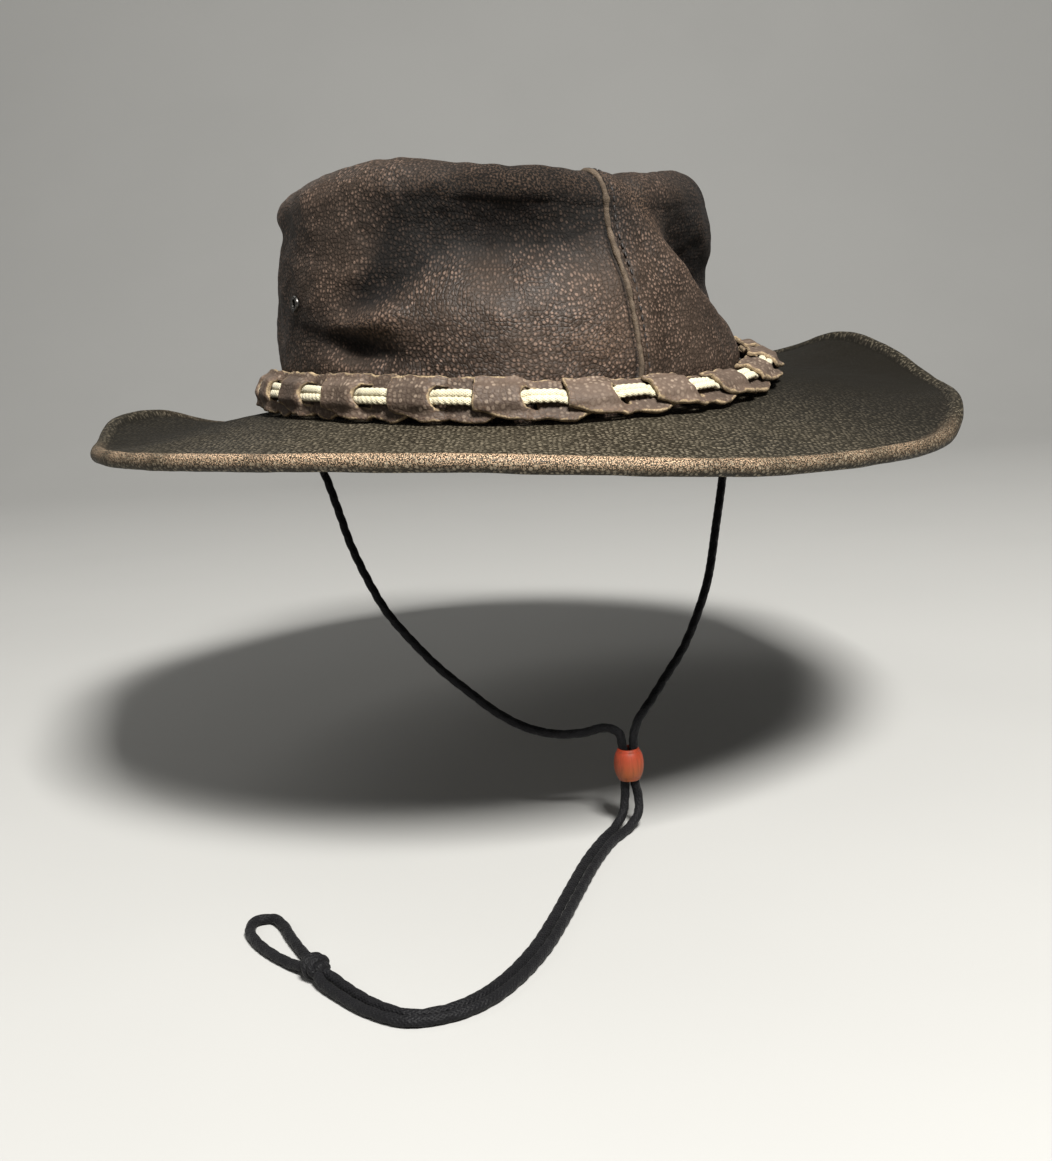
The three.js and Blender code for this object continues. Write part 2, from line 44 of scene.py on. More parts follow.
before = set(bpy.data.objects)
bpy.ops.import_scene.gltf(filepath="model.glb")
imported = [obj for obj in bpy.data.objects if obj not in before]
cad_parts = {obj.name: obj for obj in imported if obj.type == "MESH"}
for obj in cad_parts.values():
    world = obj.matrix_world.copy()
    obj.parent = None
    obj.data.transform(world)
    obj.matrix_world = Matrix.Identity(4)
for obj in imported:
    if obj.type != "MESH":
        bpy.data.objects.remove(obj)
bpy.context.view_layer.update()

METRE = 0.001
# The air between two pieces that lie against each other.
GAP = 0.3
# How thick the crown's leather is.
LEATHER = 2.0

CROWN = {"half_width": 89, "half_length": 105, "shoulder": 13, "centre_z": 79, "top_sag": 6}
BRIM = {"half_width": 166, "half_length": 182, "thickness": 2.2, "roll_radius": 2.8}
BRIM_SHARES = {"middle": 0.55, "roll": 0.958}
BAND = {"links": 22, "height": 17, "stand_off": 1, "lift": 0.5, "oval_offset": 9, "start": -0.43}
LINK = {"length": 43, "tab_layer": 3.9, "thickness": 1.6}
LACE = {"width": 2.7, "depth": 1.9, "layer": 2.75, "lower": 6.93, "upper": 9.47, "bow": 1.2}
# Where the lace's bow opens and closes in each window, and how far its strands twist and drift.
LACE_WINDOW = (0.52, 0.64, 0.88, 1.0)
LACE_PLAY = {"twist": 0.1, "drift": 0.12, "drift_length": 37}
EYELET_AZIMUTHS = {"right": -58.5, "left": 104}
EYELET = {"outer": 3.0, "bore": 1.45, "height": 1.1, "share": 0.56}
CORD_TAB = {"thickness": 2.4, "width": 12, "height": 10, "x": 83.4, "z": 8}
BEAD = {"radius": 5.3, "end_radius": 4.1, "height": 11.6, "bore": 3.45, "lip": 1.0, "arc": 0.75}
BEAD_CENTRE = (32.95, -95, -125)
KNOT = {"length": 10.4, "width": 8.6, "height": 7.4, "turn": 120, "strand": 1.35}
# How far the knot's strands are wound, and how close to its ends they stay wide.
KNOT_WINDING = {"turns": 1.25, "fullness": 0.85}
KNOT_CENTRE = (-66.6, -202.3, -144.2)
FLOOR_Z = -148.2

# How the brim lies, by azimuth: its height at the crown, half-way out and at its rolled edge,
# and how far out it reaches as a share of the plain oval.
BRIM_COLUMNS = ("azimuth", "base", "middle", "edge", "reach")
BRIM_ROWS = [
    (-180, 0.0, -3.0, -9.7, 1.0),
    (-150, -1.2, -6.5, -16.5, 1.0),
    (-134, -2.5, -8.0, -18.0, 1.0),
    (-122, -3.0, -8.6, -13.0, 1.0),
    (-109, -2.8, -8.6, -3.8, 1.0),
    (-96, -1.5, -7.5, -2.8, 1.0),
    (-80, 0.4, -5.0, -7.0, 0.975),
    (-54, 1.0, -1.9, -4.5, 1.0),
    (-30, 0.3, -1.2, -2.5, 1.0),
    (-8, -1.0, -2.4, -3.3, 1.0),
    (10, -2.0, -4.2, -7.4, 1.0),
    (26, -1.9, -6.0, -12.5, 1.0),
    (44, -1.8, -7.5, -15.3, 1.01),
    (60, -0.6, -7.0, -15.8, 1.03),
    (76, 1.8, -4.0, -8.2, 1.03),
    (91, 3.2, -1.5, -4.6, 1.02),
    (104, 4.0, 0.5, 6.4, 1.0),
    (116, 4.0, 2.5, 10.9, 1.0),
    (128, 3.2, 1.5, 3.3, 1.0),
    (150, 1.2, -2.0, -7.2, 1.0),
]

# Painted shade on the brim's top, by azimuth: how dark and smooth it is, darkest at the sides and
# back.
BRIM_DARK_ROWS = [
    (-180, 1.0), (-130, 1.0), (-95, 1.1), (-76, 1.05), (-54, 0.7), (-30, 0.25),
    (5, 0.05), (26, 0.3), (50, 0.75), (75, 1.15), (95, 1.25), (150, 1.1),
]

# How the crown stands, by azimuth: the height of its top edge, and how far in it leans by then.
CROWN_COLUMNS = ("azimuth", "top", "lean")
CROWN_ROWS = [
    (-180, 83, 9),
    (-135, 84, 6),
    (-95, 82.5, 2),
    (-70, 83, 3),
    (-45, 87, 5),
    (-30, 87.5, 8),
    (-10, 85, 10),
    (12, 82.5, 10),
    (34, 79.2, 10),
    (58, 79.5, 11),
    (82, 80.5, 11),
    (112, 79, 9),
    (145, 82, 8),
]

# The crown's dents and creases, each with its azimuth, height, spread, rise, depth, slant and
# drift: a soft hollow, or a bulge where its depth is below zero, that climbs by slant
# millimetres for each degree, or turns by drift degrees for each millimetre that it rises.
CROWN_DENTS = [
    (-2, 59, 28, 14, 13, 0, 0),
    (65, 46, 12, 18, 14, 0, -0.7),
    (50, 46, 6, 18, -2.5, 0, -0.7),
    (93, 40, 22, 15, 7, 0, 0),
    (-32, 44, 11, 7, 5, 0.5, 0),
    (-34, 34, 10, 4.5, -2.5, 0.1, 0),
    (-36, 24.5, 13, 5, 5.5, -0.25, 0),
    (-92, 63, 18, 7, 5, 0.1, 0),
    (-90, 23, 26, 12, -1.5, 0, 0),
    (-150, 55, 22, 14, 5, 0, 0),
    (150, 48, 18, 15, 5, 0.2, 0),
]

# Painted shade on the crown, in its hollows and where it faces away from the light, in the same
# terms.
PAINTED_SHADE_PLACES = [
    (-3, 68, 33, 16, 1.5, 0, 0),
    (16, 68, 12, 12, 0.7, 0, 0),
    (-27, 54, 9, 11, 1.0, 0.9, 0),
    (82, 58, 29, 30, 1.4, 0, -0.4),
    (-33, 45, 9, 6, 0.95, 0.5, 0),
    (-37, 26, 13, 4.5, 1.0, -0.25, 0),
    (-58, 34, 14, 9, 0.7, -0.2, 0),
    (-66, 60, 14, 16, 0.5, 0, 0),
    (30, 88, 40, 7, 0.9, 0, 0),
]

# The rubbed ridge on the left, and two low places in front with painted highlights.
RUBBED_AND_HIGHLIT_PLACES = [
    (46, 58, 4, 22, 0.55, 0, -0.7),
    (20, 23, 10, 7, 0.4, 0, 0),
    (-31, 31, 10, 4, 0.35, -0.2, 0),
]

# How the band leans back, by azimuth: 0 stands upright and 90 lies on the brim.
LEAN_COLUMNS = ("azimuth", "lean")
LEAN_ROWS = [
    (-180, 26),
    (-120, 26),
    (-95, 30),
    (-65, 21),
    (-25, 15),
    (-8, 23),
    (8, 38),
    (30, 50),
    (55, 62),
    (95, 58),
    (140, 40),
]

# One link, along its length: how far out it lies (1 over the lace, 0 under it) and its edges.
LINK_COLUMNS = ("along", "layer", "bottom", "top")
LINK_ROWS = [
    (0, 1, 3.8, 15.2),
    (8, 1, 1.5, 15.6),
    (15.6, 1, 0.1, 15.6),
    (20, 0, 0.9, 15.6),
    (22, 0, 1.5, 15.6),
    (26.5, 0, 0.3, 15.8),
    (31, 0, 0, 15.6),
    (38, 0, 2.6, 14.5),
    (43, 0, 5.8, 12),
]
LINK_SLOT = {"left": 17.2, "right": 21, "bottom": 4.6, "top": 12, "bow": 1.7, "bow_width": 3.2}
# The least leather left below and above the slot.
SLOT_SILL = {"below": 1.2, "above": 1.0}
# How uneven each link is, in millimetres: its cut edges, its height, its tip, the curl and tilt
# of its tab, and its skin.
LINK_PLAY = {
    "edge": 0.25, "bottom": 0.15, "top": 0.2, "tip": 0.2, "curl": 0.3, "tilt": 0.12, "skin": 0.08,
}
# Over what distance from the lace the tab's arch comes down, in millimetres.
LINK_ARCH = (2.4, 6.2)
# How wide a link's cut edge shows, how far and how strongly it is rubbed, and how dark the painted
# shade is on the tongue past the slot, and where along the link it sets in.
LINK_WEAR_AND_SHADE = {"cut": 1.3, "rub": 0.5, "rub_span": (0.4, 2.6), "dark": 0.3, "shade_span": (19, 22)}
LACE_MIDDLE = 8.2

# The lapped seams of the crown: a level and the seam's azimuth there. A level is 0 to 1 up the
# wall, 1 to 2 round the shoulder and 2 to 3 over the top. A seam's home is its middle azimuth.
FRONT_SEAM = [
    (0, 27.6), (0.1, 28.4), (0.22, 29.6), (0.68, 28.6), (0.95, 28), (1.4, 27.5), (2.2, 27.2),
]
BACK_SEAM = [(0, -152), (2.2, -152)]
SEAM_HOME = {"front": 28.0, "back": -152.0}

# A lap across its width, in millimetres beside the cut edge: a groove before the edge, the
# upper leather's rise and where it thins away, the furrow under its stitches, and how far below
# the top seam it ends, in levels.
LAP = {
    "groove": 0.45, "groove_place": -1.5, "furrow": 0.3, "stitch_line": 3.0, "line_width": 0.6,
    "rise": (0.75, 0.95), "thinning": (3.5, 16), "end": (0.06, 0.02),
}

# The seam round the top: a furrow, and a welt just below it, in millimetres and levels.
TOP_WELT = {"furrow": 0.8, "furrow_width": 0.014, "welt": 0.5, "below": 0.04, "welt_width": 0.03}

# Soft unevenness: the seed, number, shortest and longest wave of each kind.
RIPPLES = {
    "crown_wide": (11, 26, 14, 46),
    "crown_fine": (12, 30, 6, 14),
    "seam_edge": (21, 18, 2, 12),
    "brim_roll": (31, 18, 10, 40),
    "brim_wide": (32, 26, 18, 60),
    "brim_fine": (33, 30, 5, 14),
    "brim_rub": (34, 20, 12, 60),
    "link": (41, 16, 2, 7),
}

# The chin cord, point by point from each exit inside the head opening to the bead.
RIGHT_CHIN_ROUTE = [
    (-83.4, 0, 2.4), (-83.6, -2, -5), (-82, -7, -12), (-78.6, -13, -19), (-74.6, -19.6, -26.5),
    (-69.1, -30.6, -40), (-65, -38.6, -50.5), (-58.3, -48.4, -63.3), (-51.7, -56.3, -73.5),
    (-43.7, -63, -82.3), (-33.4, -70.5, -92), (-22.8, -76.7, -100.1), (-12.4, -82.3, -107.4),
    (-2.3, -86.6, -112.2), (8.2, -89.4, -114.4), (17.4, -91.6, -113.8), (25, -93.8, -111.8),
    (29.8, -95, -113.4), (31, -95, -118.8),
]
LEFT_CHIN_ROUTE = [
    (83.4, 0, 2.4), (83.9, -2, -5), (83.6, -9, -13), (81.4, -18, -24), (78.2, -28, -36.6),
    (73.9, -39.3, -51.2), (68.5, -52.7, -68.8), (63.3, -61, -79.6), (56.4, -69.5, -90.8),
    (49.6, -76.3, -98.3), (42.6, -84, -105.6), (37.2, -91, -110.6), (35.1, -94.6, -115),
    (34.9, -95, -118.8),
]

# The tail's two strands, from the bead down and along to the knot, and the loop beyond it.
RIGHT_TAIL_ROUTE = [
    (31.2, -95, -131.2), (31, -95.3, -137.6), (29.8, -97.2, -142.6), (26.8, -101.4, -145.8),
    (21.6, -111.5, -146.5), (15.2, -128.8, -146.5), (8.3, -153.2, -146.5), (2.3, -175.3, -146.5),
    (-4, -195.2, -146.5), (-12.2, -213, -146.5), (-19.8, -223.5, -146.5), (-27.6, -229.3, -146.5),
    (-37.2, -231, -146.5), (-46.4, -225, -146.5), (-55.4, -214.6, -146.4), (-61.6, -206.4, -145.8),
]
LEFT_TAIL_ROUTE = [
    (34.7, -95, -131.2), (35.8, -95.2, -138), (35.2, -97.6, -142.8), (31.6, -102.4, -145.8),
    (25.2, -112.8, -146.5), (18.8, -130, -146.5), (11.9, -154.1, -146.5), (5.9, -176.3, -146.5),
    (-0.5, -196.5, -146.5), (-9, -215, -146.5), (-17.1, -226.4, -146.5), (-26.2, -232.9, -146.5),
    (-38.2, -234.7, -146.5), (-49, -227.9, -146.5), (-58.5, -217.1, -146.4),
    (-64.6, -208.6, -145.8),
]
LOOP_ROUTE = [
    (-68, -196.6, -145.8), (-72.6, -187, -146.5), (-77.5, -176, -146.5), (-81.4, -166.4, -146.5),
    (-85.2, -161.6, -146.5), (-90, -162.6, -146.5), (-91.2, -168.4, -146.5), (-88.2, -177, -146.5),
    (-82.6, -186, -146.5), (-76.4, -193.4, -146.5), (-71.4, -198.6, -145.8),
]

# The braid over a cord's radius: how many strands cross each way, and how far they swell.
BRAID = {"lobes": 3, "valley": 0.92, "swell": 0.17}
# The knot's strands, two wound ones and the straight core: where each starts round the knot,
# whether it is wound, how far it reaches and how thick it is.
KNOT_STRANDS = [(0.0, 1, 0.8, 1.0), (np.pi, 1, 0.8, 1.0), (0.0, 0, 1.15, 1.5)]

UP = np.array([0.0, 0.0, 1.0])


# Curves and surfaces


def covered(points):
    """The distance covered along a line of points, up to each of them."""
    return np.concatenate([[0], np.cumsum(np.linalg.norm(np.diff(points, axis=0), axis=1))])


def hermite(low, high, low_slope, high_slope, span, t):
    """A cubic from low to high over a span, at the share t of it, with a slope at each end."""
    flat = t * t * (3 - 2 * t)
    return low + (high - low) * flat + t * (1 - t) * span * ((1 - t) * low_slope - t * high_slope)


def around(rows, names, column, azimuth):
    """A closed curve through a column's values: cubic Hermite pieces, each row's slope being the
    rise between its two neighbours over their distance."""
    table = np.array(rows, float)
    places, values = table[:, 0], table[:, names.index(column)]
    x = np.concatenate([places[-1:] - 360, places, places[:2] + 360])
    v = np.concatenate([values[-1:], values, values[:2]])
    slope = np.concatenate([[0], (v[2:] - v[:-2]) / (x[2:] - x[:-2])])
    turned = places[0] + np.mod(azimuth - places[0], 360)
    i = np.clip(np.searchsorted(x, turned, side="right") - 1, 1, len(places))
    span = x[i + 1] - x[i]
    return hermite(v[i], v[i + 1], slope[i], slope[i + 1], span, (turned - x[i]) / span)


def smoothstep(low, high, value):
    """0 below low, 1 above high, and 3t2 - 2t3 of the share t between them."""
    t = np.clip((value - low) / (high - low), 0, 1)
    return t * t * (3 - 2 * t)


def unit(vectors):
    """Each vector over its own length."""
    return vectors / np.linalg.norm(vectors, axis=-1, keepdims=True)


def oval(half_width, half_length, azimuth):
    """A level oval's point, (a sin, -b cos), and its outward direction, (b sin, -a cos)."""
    s, c = np.sin(np.radians(azimuth)), np.cos(np.radians(azimuth))
    point = np.stack([half_width * s, -half_length * c, np.zeros_like(s)], -1)
    out = np.stack([half_length * s, -half_width * c, np.zeros_like(s)], -1)
    return point, unit(out)


def ripples(points, kind):
    """A sum of seeded plane waves in space with random headings and phases, their lengths
    spread between shortest and longest, over the root of half their number."""
    seed, count, shortest, longest = RIPPLES[kind]
    draw = np.random.default_rng(seed)
    heading = unit(draw.normal(size=(count, 3)))
    length = shortest * (longest / shortest) ** draw.random(count)
    phase = draw.random(count) * 2 * np.pi
    total = np.zeros(points.shape[:-1])
    for k in range(count):
        total += np.sin(points @ (heading[k] * 2 * np.pi / length[k]) + phase[k])
    return total / np.sqrt(count / 2)


def brim_z(azimuth, share):
    """The brim's height: a cubic in the share outwards, flat at the crown, through the heights
    half-way out and at the edge."""
    base = around(BRIM_ROWS, BRIM_COLUMNS, "base", azimuth)
    middle = around(BRIM_ROWS, BRIM_COLUMNS, "middle", azimuth) - base
    edge = around(BRIM_ROWS, BRIM_COLUMNS, "edge", azimuth) - base
    cubic = (middle / BRIM_SHARES["middle"] ** 2 - edge) / (BRIM_SHARES["middle"] - 1)
    return base + (edge - cubic) * share**2 + cubic * share**3


def brim_point(azimuth, share):
    """The middle of the brim's thickness, on the straight line from the opening to the edge."""
    inner, _ = oval(CROWN["half_width"] - LEATHER, CROWN["half_length"] - LEATHER, azimuth)
    outer, out = oval(BRIM["half_width"], BRIM["half_length"], azimuth)
    reach = around(BRIM_ROWS, BRIM_COLUMNS, "reach", azimuth)[..., None]
    edge = outer * reach - out * BRIM["roll_radius"]
    point = inner + (edge - inner) * share[..., None]
    point[..., 2] = brim_z(azimuth, share) - BRIM["thickness"] / 2
    return point


def soft_spot(row, azimuth, z):
    """A Gaussian spot in azimuth and height, leaning by its slant and drift, at its own depth."""
    middle, height, spread, rise, depth, slant, drift = row
    off = np.mod(azimuth - middle + 180, 360) - 180
    up = z - height - slant * off
    beside = off - drift * (z - height)
    return depth * np.exp(-((beside / spread) ** 2) - (up / rise) ** 2)


def dent_depth(azimuth, z):
    """How far the crown is pushed in: the sum of its hollows."""
    return sum(soft_spot(row, azimuth, z) for row in CROWN_DENTS)


FOOTHOLD = 12


def crown_wall(azimuth, level):
    """A place on the crown and the way it faces. The level is 0 to 1 up the wall, which leans in
    with its square, and 1 to 2 round the shoulder's quarter circle; dents push it inwards."""
    share = np.clip(level, 0, 1)
    bend = np.pi / 2 * np.clip(level - 1, 0, 1)
    foot = around(BRIM_ROWS, BRIM_COLUMNS, "base", azimuth) + GAP
    top = around(CROWN_ROWS, CROWN_COLUMNS, "top", azimuth)
    lean = around(CROWN_ROWS, CROWN_COLUMNS, "lean", azimuth)
    point, out = oval(CROWN["half_width"], CROWN["half_length"], azimuth)
    z = foot + (top - CROWN["shoulder"] - foot) * share + CROWN["shoulder"] * np.sin(bend)
    inwards = lean * share**2 + CROWN["shoulder"] * (1 - np.cos(bend))
    point = point - out * inwards[..., None]
    point[..., 2] = z
    facing = out * np.cos(bend)[..., None] + UP * np.sin(bend)[..., None]
    foothold = np.clip((z - foot) / FOOTHOLD, 0, 1)
    return point - facing * (dent_depth(azimuth, z) * foothold)[..., None], facing


def crown_point(azimuth, level, inset):
    """A place on the crown, the level going on from 2 to 3 over the top to its middle. There the
    plan shrinks to the centre, the height eases from rim to centre, and the top sags."""
    point, facing = crown_wall(azimuth, level)
    point = point - facing * inset
    inwards = np.clip(level - 2, 0, 1)
    out = 1 - inwards
    point[..., 0] *= out
    point[..., 1] *= out
    sunk = CROWN["top_sag"] * (1 - out**2)
    rim = out**2 * (3 - 2 * out)
    point[..., 2] = (point[..., 2] + inset) * rim + CROWN["centre_z"] * (1 - rim) - sunk - inset
    return point


def band_lengths():
    """Azimuths, every half degree, and the distance round the oval that the band follows."""
    azimuth = np.arange(721) / 2
    offset = BAND["oval_offset"]
    point, _ = oval(CROWN["half_width"] + offset, CROWN["half_length"] + offset, azimuth)
    return azimuth, covered(point)


BAND_AZIMUTHS, BAND_LENGTHS = band_lengths()
BAND_ROUND = BAND_LENGTHS[-1]
LINK_PITCH = BAND_ROUND / BAND["links"]


def band_point(length, up, layer):
    """A place in the band: so far round, so far up its leaning face, so far out from it."""
    azimuth = np.interp(np.mod(length, BAND_ROUND), BAND_LENGTHS, BAND_AZIMUTHS)
    lean = np.radians(around(LEAN_ROWS, LEAN_COLUMNS, "lean", azimuth))
    point, out = oval(CROWN["half_width"], CROWN["half_length"], azimuth)
    reach = BAND["stand_off"] + BAND["height"] * np.sin(lean)
    brim_width = BRIM["half_width"] - CROWN["half_width"]
    at_reach = brim_z(azimuth, reach / brim_width)
    foot = np.maximum(at_reach, brim_z(azimuth, np.zeros_like(azimuth))) + BAND["lift"]
    outwards = reach - up * np.sin(lean) + layer * np.cos(lean)
    point = point + out * outwards[..., None]
    point[..., 2] = foot + up * np.cos(lean) + layer * np.sin(lean)
    return point


def smooth_route(points, step):
    """Points at even steps along the centripetal Catmull-Rom curve through a route: each piece is
    a cubic whose end slopes weigh its neighbours by the root of their distance."""
    p = np.array(points, float)
    p = np.concatenate([2 * p[:1] - p[1:2], p, 2 * p[-1:] - p[-2:-1]])
    gap = np.sqrt(np.linalg.norm(np.diff(p, axis=0), axis=1))[:, None]
    before, here, after = gap[:-2], gap[1:-1], gap[2:]
    a, b, c, d = p[:-3], p[1:-2], p[2:-1], p[3:]
    leave = ((b - a) / before - (c - a) / (before + here) + (c - b) / here) * here
    arrive = ((c - b) / here - (d - b) / (here + after) + (d - c) / after) * here
    t = (np.arange(40) / 40)[None, :, None]
    b, c, leave, arrive = (x[:, None] for x in (b, c, leave, arrive))
    curve = (
        b * (2 * t**3 - 3 * t**2 + 1)
        + leave * (t**3 - 2 * t**2 + t)
        + c * (3 * t**2 - 2 * t**3)
        + arrive * (t**3 - t**2)
    ).reshape(-1, 3)
    curve = np.concatenate([curve, p[-2:-1]])
    distance = covered(curve)
    even = np.linspace(0, distance[-1], max(8, round(distance[-1] / step)) + 1)
    return np.stack([np.interp(even, distance, curve[:, k]) for k in range(3)], -1)


def tube_frame(path, reference):
    """Two directions square to a path: its cross with a reference, and the cross with that."""
    along = unit(np.gradient(path, axis=0))
    side = unit(np.cross(along, reference))
    return side, np.cross(along, side)


def grid_normals(skin):
    """The way each point of a grid faces: the step along its row crossed with the step up."""
    normal = np.cross(np.gradient(skin, axis=1), np.gradient(skin, axis=0))
    return normal / np.maximum(np.linalg.norm(normal, axis=-1, keepdims=True), 1e-9)


# Meshes


def grid_quads(rows, columns, wrap_rows=False, wrap_columns=False):
    """Corner numbers of a grid's cells, in the order (r, c), (r, c+1), (r+1, c+1), (r+1, c)."""
    ids = np.arange(rows * columns).reshape(rows, columns)
    if wrap_rows:
        ids = np.concatenate([ids, ids[:1]], 0)
    if wrap_columns:
        ids = np.concatenate([ids, ids[:, :1]], 1)
    corners = (ids[:-1, :-1], ids[:-1, 1:], ids[1:, 1:], ids[1:, :-1])
    return np.stack(corners, -1).reshape(-1, 4)


def make_piece(name, points, faces, materials, uv=None, values=None, face_materials=None):
    """A smooth mesh object at the origin, from points in millimetres, faces, a place in the
    pattern for each face corner and named values for each point."""
    mesh = bpy.data.meshes.new(name)
    face_lists = [face for group in faces for face in group.tolist()]
    mesh.from_pydata((np.asarray(points).reshape(-1, 3) * METRE).tolist(), [], face_lists)
    for material in materials:
        mesh.materials.append(material)
    if face_materials is not None:
        mesh.polygons.foreach_set("material_index", np.asarray(face_materials, np.int32))
    if uv is not None:
        layer = mesh.uv_layers.new(name="surface")
        layer.data.foreach_set("uv", (np.concatenate(uv) * METRE).astype(np.float32).ravel())
    for key, data in (values or {}).items():
        attribute = mesh.attributes.new(key, "FLOAT", "POINT")
        attribute.data.foreach_set("value", np.asarray(data, np.float32).ravel())
    mesh.update()
    mesh.shade_smooth()
    obj = bpy.data.objects.new(name, mesh)
    bpy.context.scene.collection.objects.link(obj)
    return obj


def dress(obj, slot, *nodes):
    """The piece rides on the hat and stands for its CAD nodes, which it hides. The slot is not used.
    """
    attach(obj, "root")
    if nodes:
        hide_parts(*nodes)
    return obj


def tube_faces(rings, sides):
    """Faces of an open tube with a flat cap on each end."""
    quads = grid_quads(rings, sides, wrap_columns=True)
    first = np.arange(sides)[None, ::-1]
    last = first[:, ::-1] + (rings - 1) * sides
    return [quads, first, last]


def tube(path, radius, sides, reference, relief):
    """A tube along a path, its radius multiplied by relief(distance, turn): its points, its
    faces, and each face corner's place in the pattern, the distance and the way round."""
    side, other = tube_frame(path, reference)
    distance = covered(path)
    turn = np.arange(sides) * 2 * np.pi / sides
    size = radius * relief(distance[:, None], turn[None, :])
    points = (
        path[:, None]
        + side[:, None] * (size * np.cos(turn))[..., None]
        + other[:, None] * (size * np.sin(turn))[..., None]
    )
    faces = tube_faces(len(path), sides)
    flat = np.stack(np.broadcast_arrays(distance[:, None], radius * turn[None, :]), -1)
    flat = flat.reshape(-1, 2)
    return points, faces, [flat[group].reshape(-1, 2) for group in faces]


# Shader node groups


def place(tree, kind, inputs=None, **settings):
    """Places a shader node, then sets or links its inputs by name or number."""
    node = tree.nodes.new("ShaderNode" + kind)
    for key, value in settings.items():
        setattr(node, key, value)
    for key, value in (inputs or {}).items():
        if isinstance(value, bpy.types.NodeSocket):
            tree.links.new(value, node.inputs[key])
        else:
            node.inputs[key].default_value = value
    return node


def maths(tree, operation, a, b, clamp=False):
    """The result of one arithmetic step."""
    return place(tree, "Math", {0: a, 1: b}, operation=operation, use_clamp=clamp).outputs[0]


def fade(tree, value, low, high, start=0.0, end=1.0):
    """A smooth step of a value from start to end between low and high."""
    inputs = {"Value": value, "From Min": low, "From Max": high, "To Min": start, "To Max": end}
    return place(tree, "MapRange", inputs, interpolation_type="SMOOTHSTEP").outputs[0]


def mixed(tree, factor, a, b):
    """Two colours mixed by a factor."""
    return place(tree, "Mix", {0: factor, 6: a, 7: b}, data_type="RGBA").outputs[2]


def new_group(name, inputs, outputs):
    """An empty shader group with its sockets, and the nodes that hold them."""
    tree = bpy.data.node_groups.new(name, "ShaderNodeTree")
    for label, kind, default in inputs:
        socket = tree.interface.new_socket(label, in_out="INPUT", socket_type="NodeSocket" + kind)
        if default is not None:
            socket.default_value = default
    for label, kind in outputs:
        tree.interface.new_socket(label, in_out="OUTPUT", socket_type="NodeSocket" + kind)
    return tree, tree.nodes.new("NodeGroupInput").outputs, tree.nodes.new("NodeGroupOutput").inputs


def pebbled_grain_group():
    """Leather grain: cells of a warped Voronoi pattern. Spots are the pale tops of the cells,
    each as strong as its own draw, and Height swells in each cell and sinks between cells."""
    inputs = [
        ("Vector", "Vector", None),
        ("Cells Per Metre", "Float", 360.0),
        ("Spot Size", "Float", 0.45),
        ("Spot Share", "Float", 0.35),
    ]
    tree, given, out = new_group("pebbled_grain", inputs, [("Spots", "Float"), ("Height", "Float")])
    warp = place(tree, "TexNoise", {"Vector": given["Vector"], "Scale": 140.0, "Detail": 2.0})
    middle = {0: warp.outputs["Color"], 1: (0.5, 0.5, 0.5)}
    centred = place(tree, "VectorMath", middle, operation="SUBTRACT").outputs[0]
    shift = place(tree, "VectorMath", {0: centred, 3: 0.0025}, operation="SCALE").outputs[0]
    moved = place(tree, "VectorMath", {0: given["Vector"], 1: shift}, operation="ADD").outputs[0]
    cell = {"Vector": moved, "Scale": given["Cells Per Metre"], "Randomness": 0.8}
    near = place(tree, "TexVoronoi", cell, voronoi_dimensions="2D", feature="F1")
    edge = place(tree, "TexVoronoi", cell, voronoi_dimensions="2D", feature="DISTANCE_TO_EDGE")
    draw = place(tree, "SeparateColor", {0: near.outputs["Color"]}).outputs[0]
    chance = {0: draw, 1: given["Spot Share"], 2: 1.0, 3: 0.15, 4: 1.0}
    chosen = place(tree, "MapRange", chance).outputs[0]
    top = maths(tree, "SUBTRACT", given["Spot Size"], near.outputs["Distance"])
    spots = maths(tree, "MULTIPLY", fade(tree, top, 0.0, 0.22), chosen, clamp=True)
    tree.links.new(spots, out["Spots"])
    tree.links.new(fade(tree, edge.outputs["Distance"], 0.0, 0.28), out["Height"])
    return tree


def soft_blotches_group():
    """Cloudy patches: four-octave noise turned into a mask by a smooth step."""
    inputs = [
        ("Vector", "Vector", None),
        ("Patches Per Metre", "Float", 25.0),
        ("Low", "Float", 0.4),
        ("High", "Float", 0.65),
    ]
    tree, given, out = new_group("soft_blotches", inputs, [("Mask", "Float")])
    scale = given["Patches Per Metre"]
    noise = {"Vector": given["Vector"], "Scale": scale, "Detail": 4.0, "Roughness": 0.6}
    value = place(tree, "TexNoise", noise).outputs[0]
    tree.links.new(fade(tree, value, given["Low"], given["High"]), out["Mask"])
    return tree


def cut_fibres_group():
    """Raw cut leather: stretched noise for its fibres, with a coarser noise for frayed spots."""
    inputs = [("Vector", "Vector", None), ("Fibres Per Metre", "Float", 900.0)]
    outputs = [("Fibres", "Float"), ("Fray", "Float")]
    tree, given, out = new_group("cut_fibres", inputs, outputs)
    scale = given["Fibres Per Metre"]
    fine = {"Vector": given["Vector"], "Scale": scale, "Detail": 3.0, "Distortion": 1.5}
    coarse = {"Vector": given["Vector"], "Scale": 260.0, "Detail": 3.0}
    fibres = place(tree, "TexNoise", fine).outputs[0]
    fray = place(tree, "TexNoise", coarse).outputs[0]
    tree.links.new(fade(tree, fibres, 0.3, 0.7), out["Fibres"])
    tree.links.new(fade(tree, fray, 0.42, 0.6), out["Fray"])
    return tree


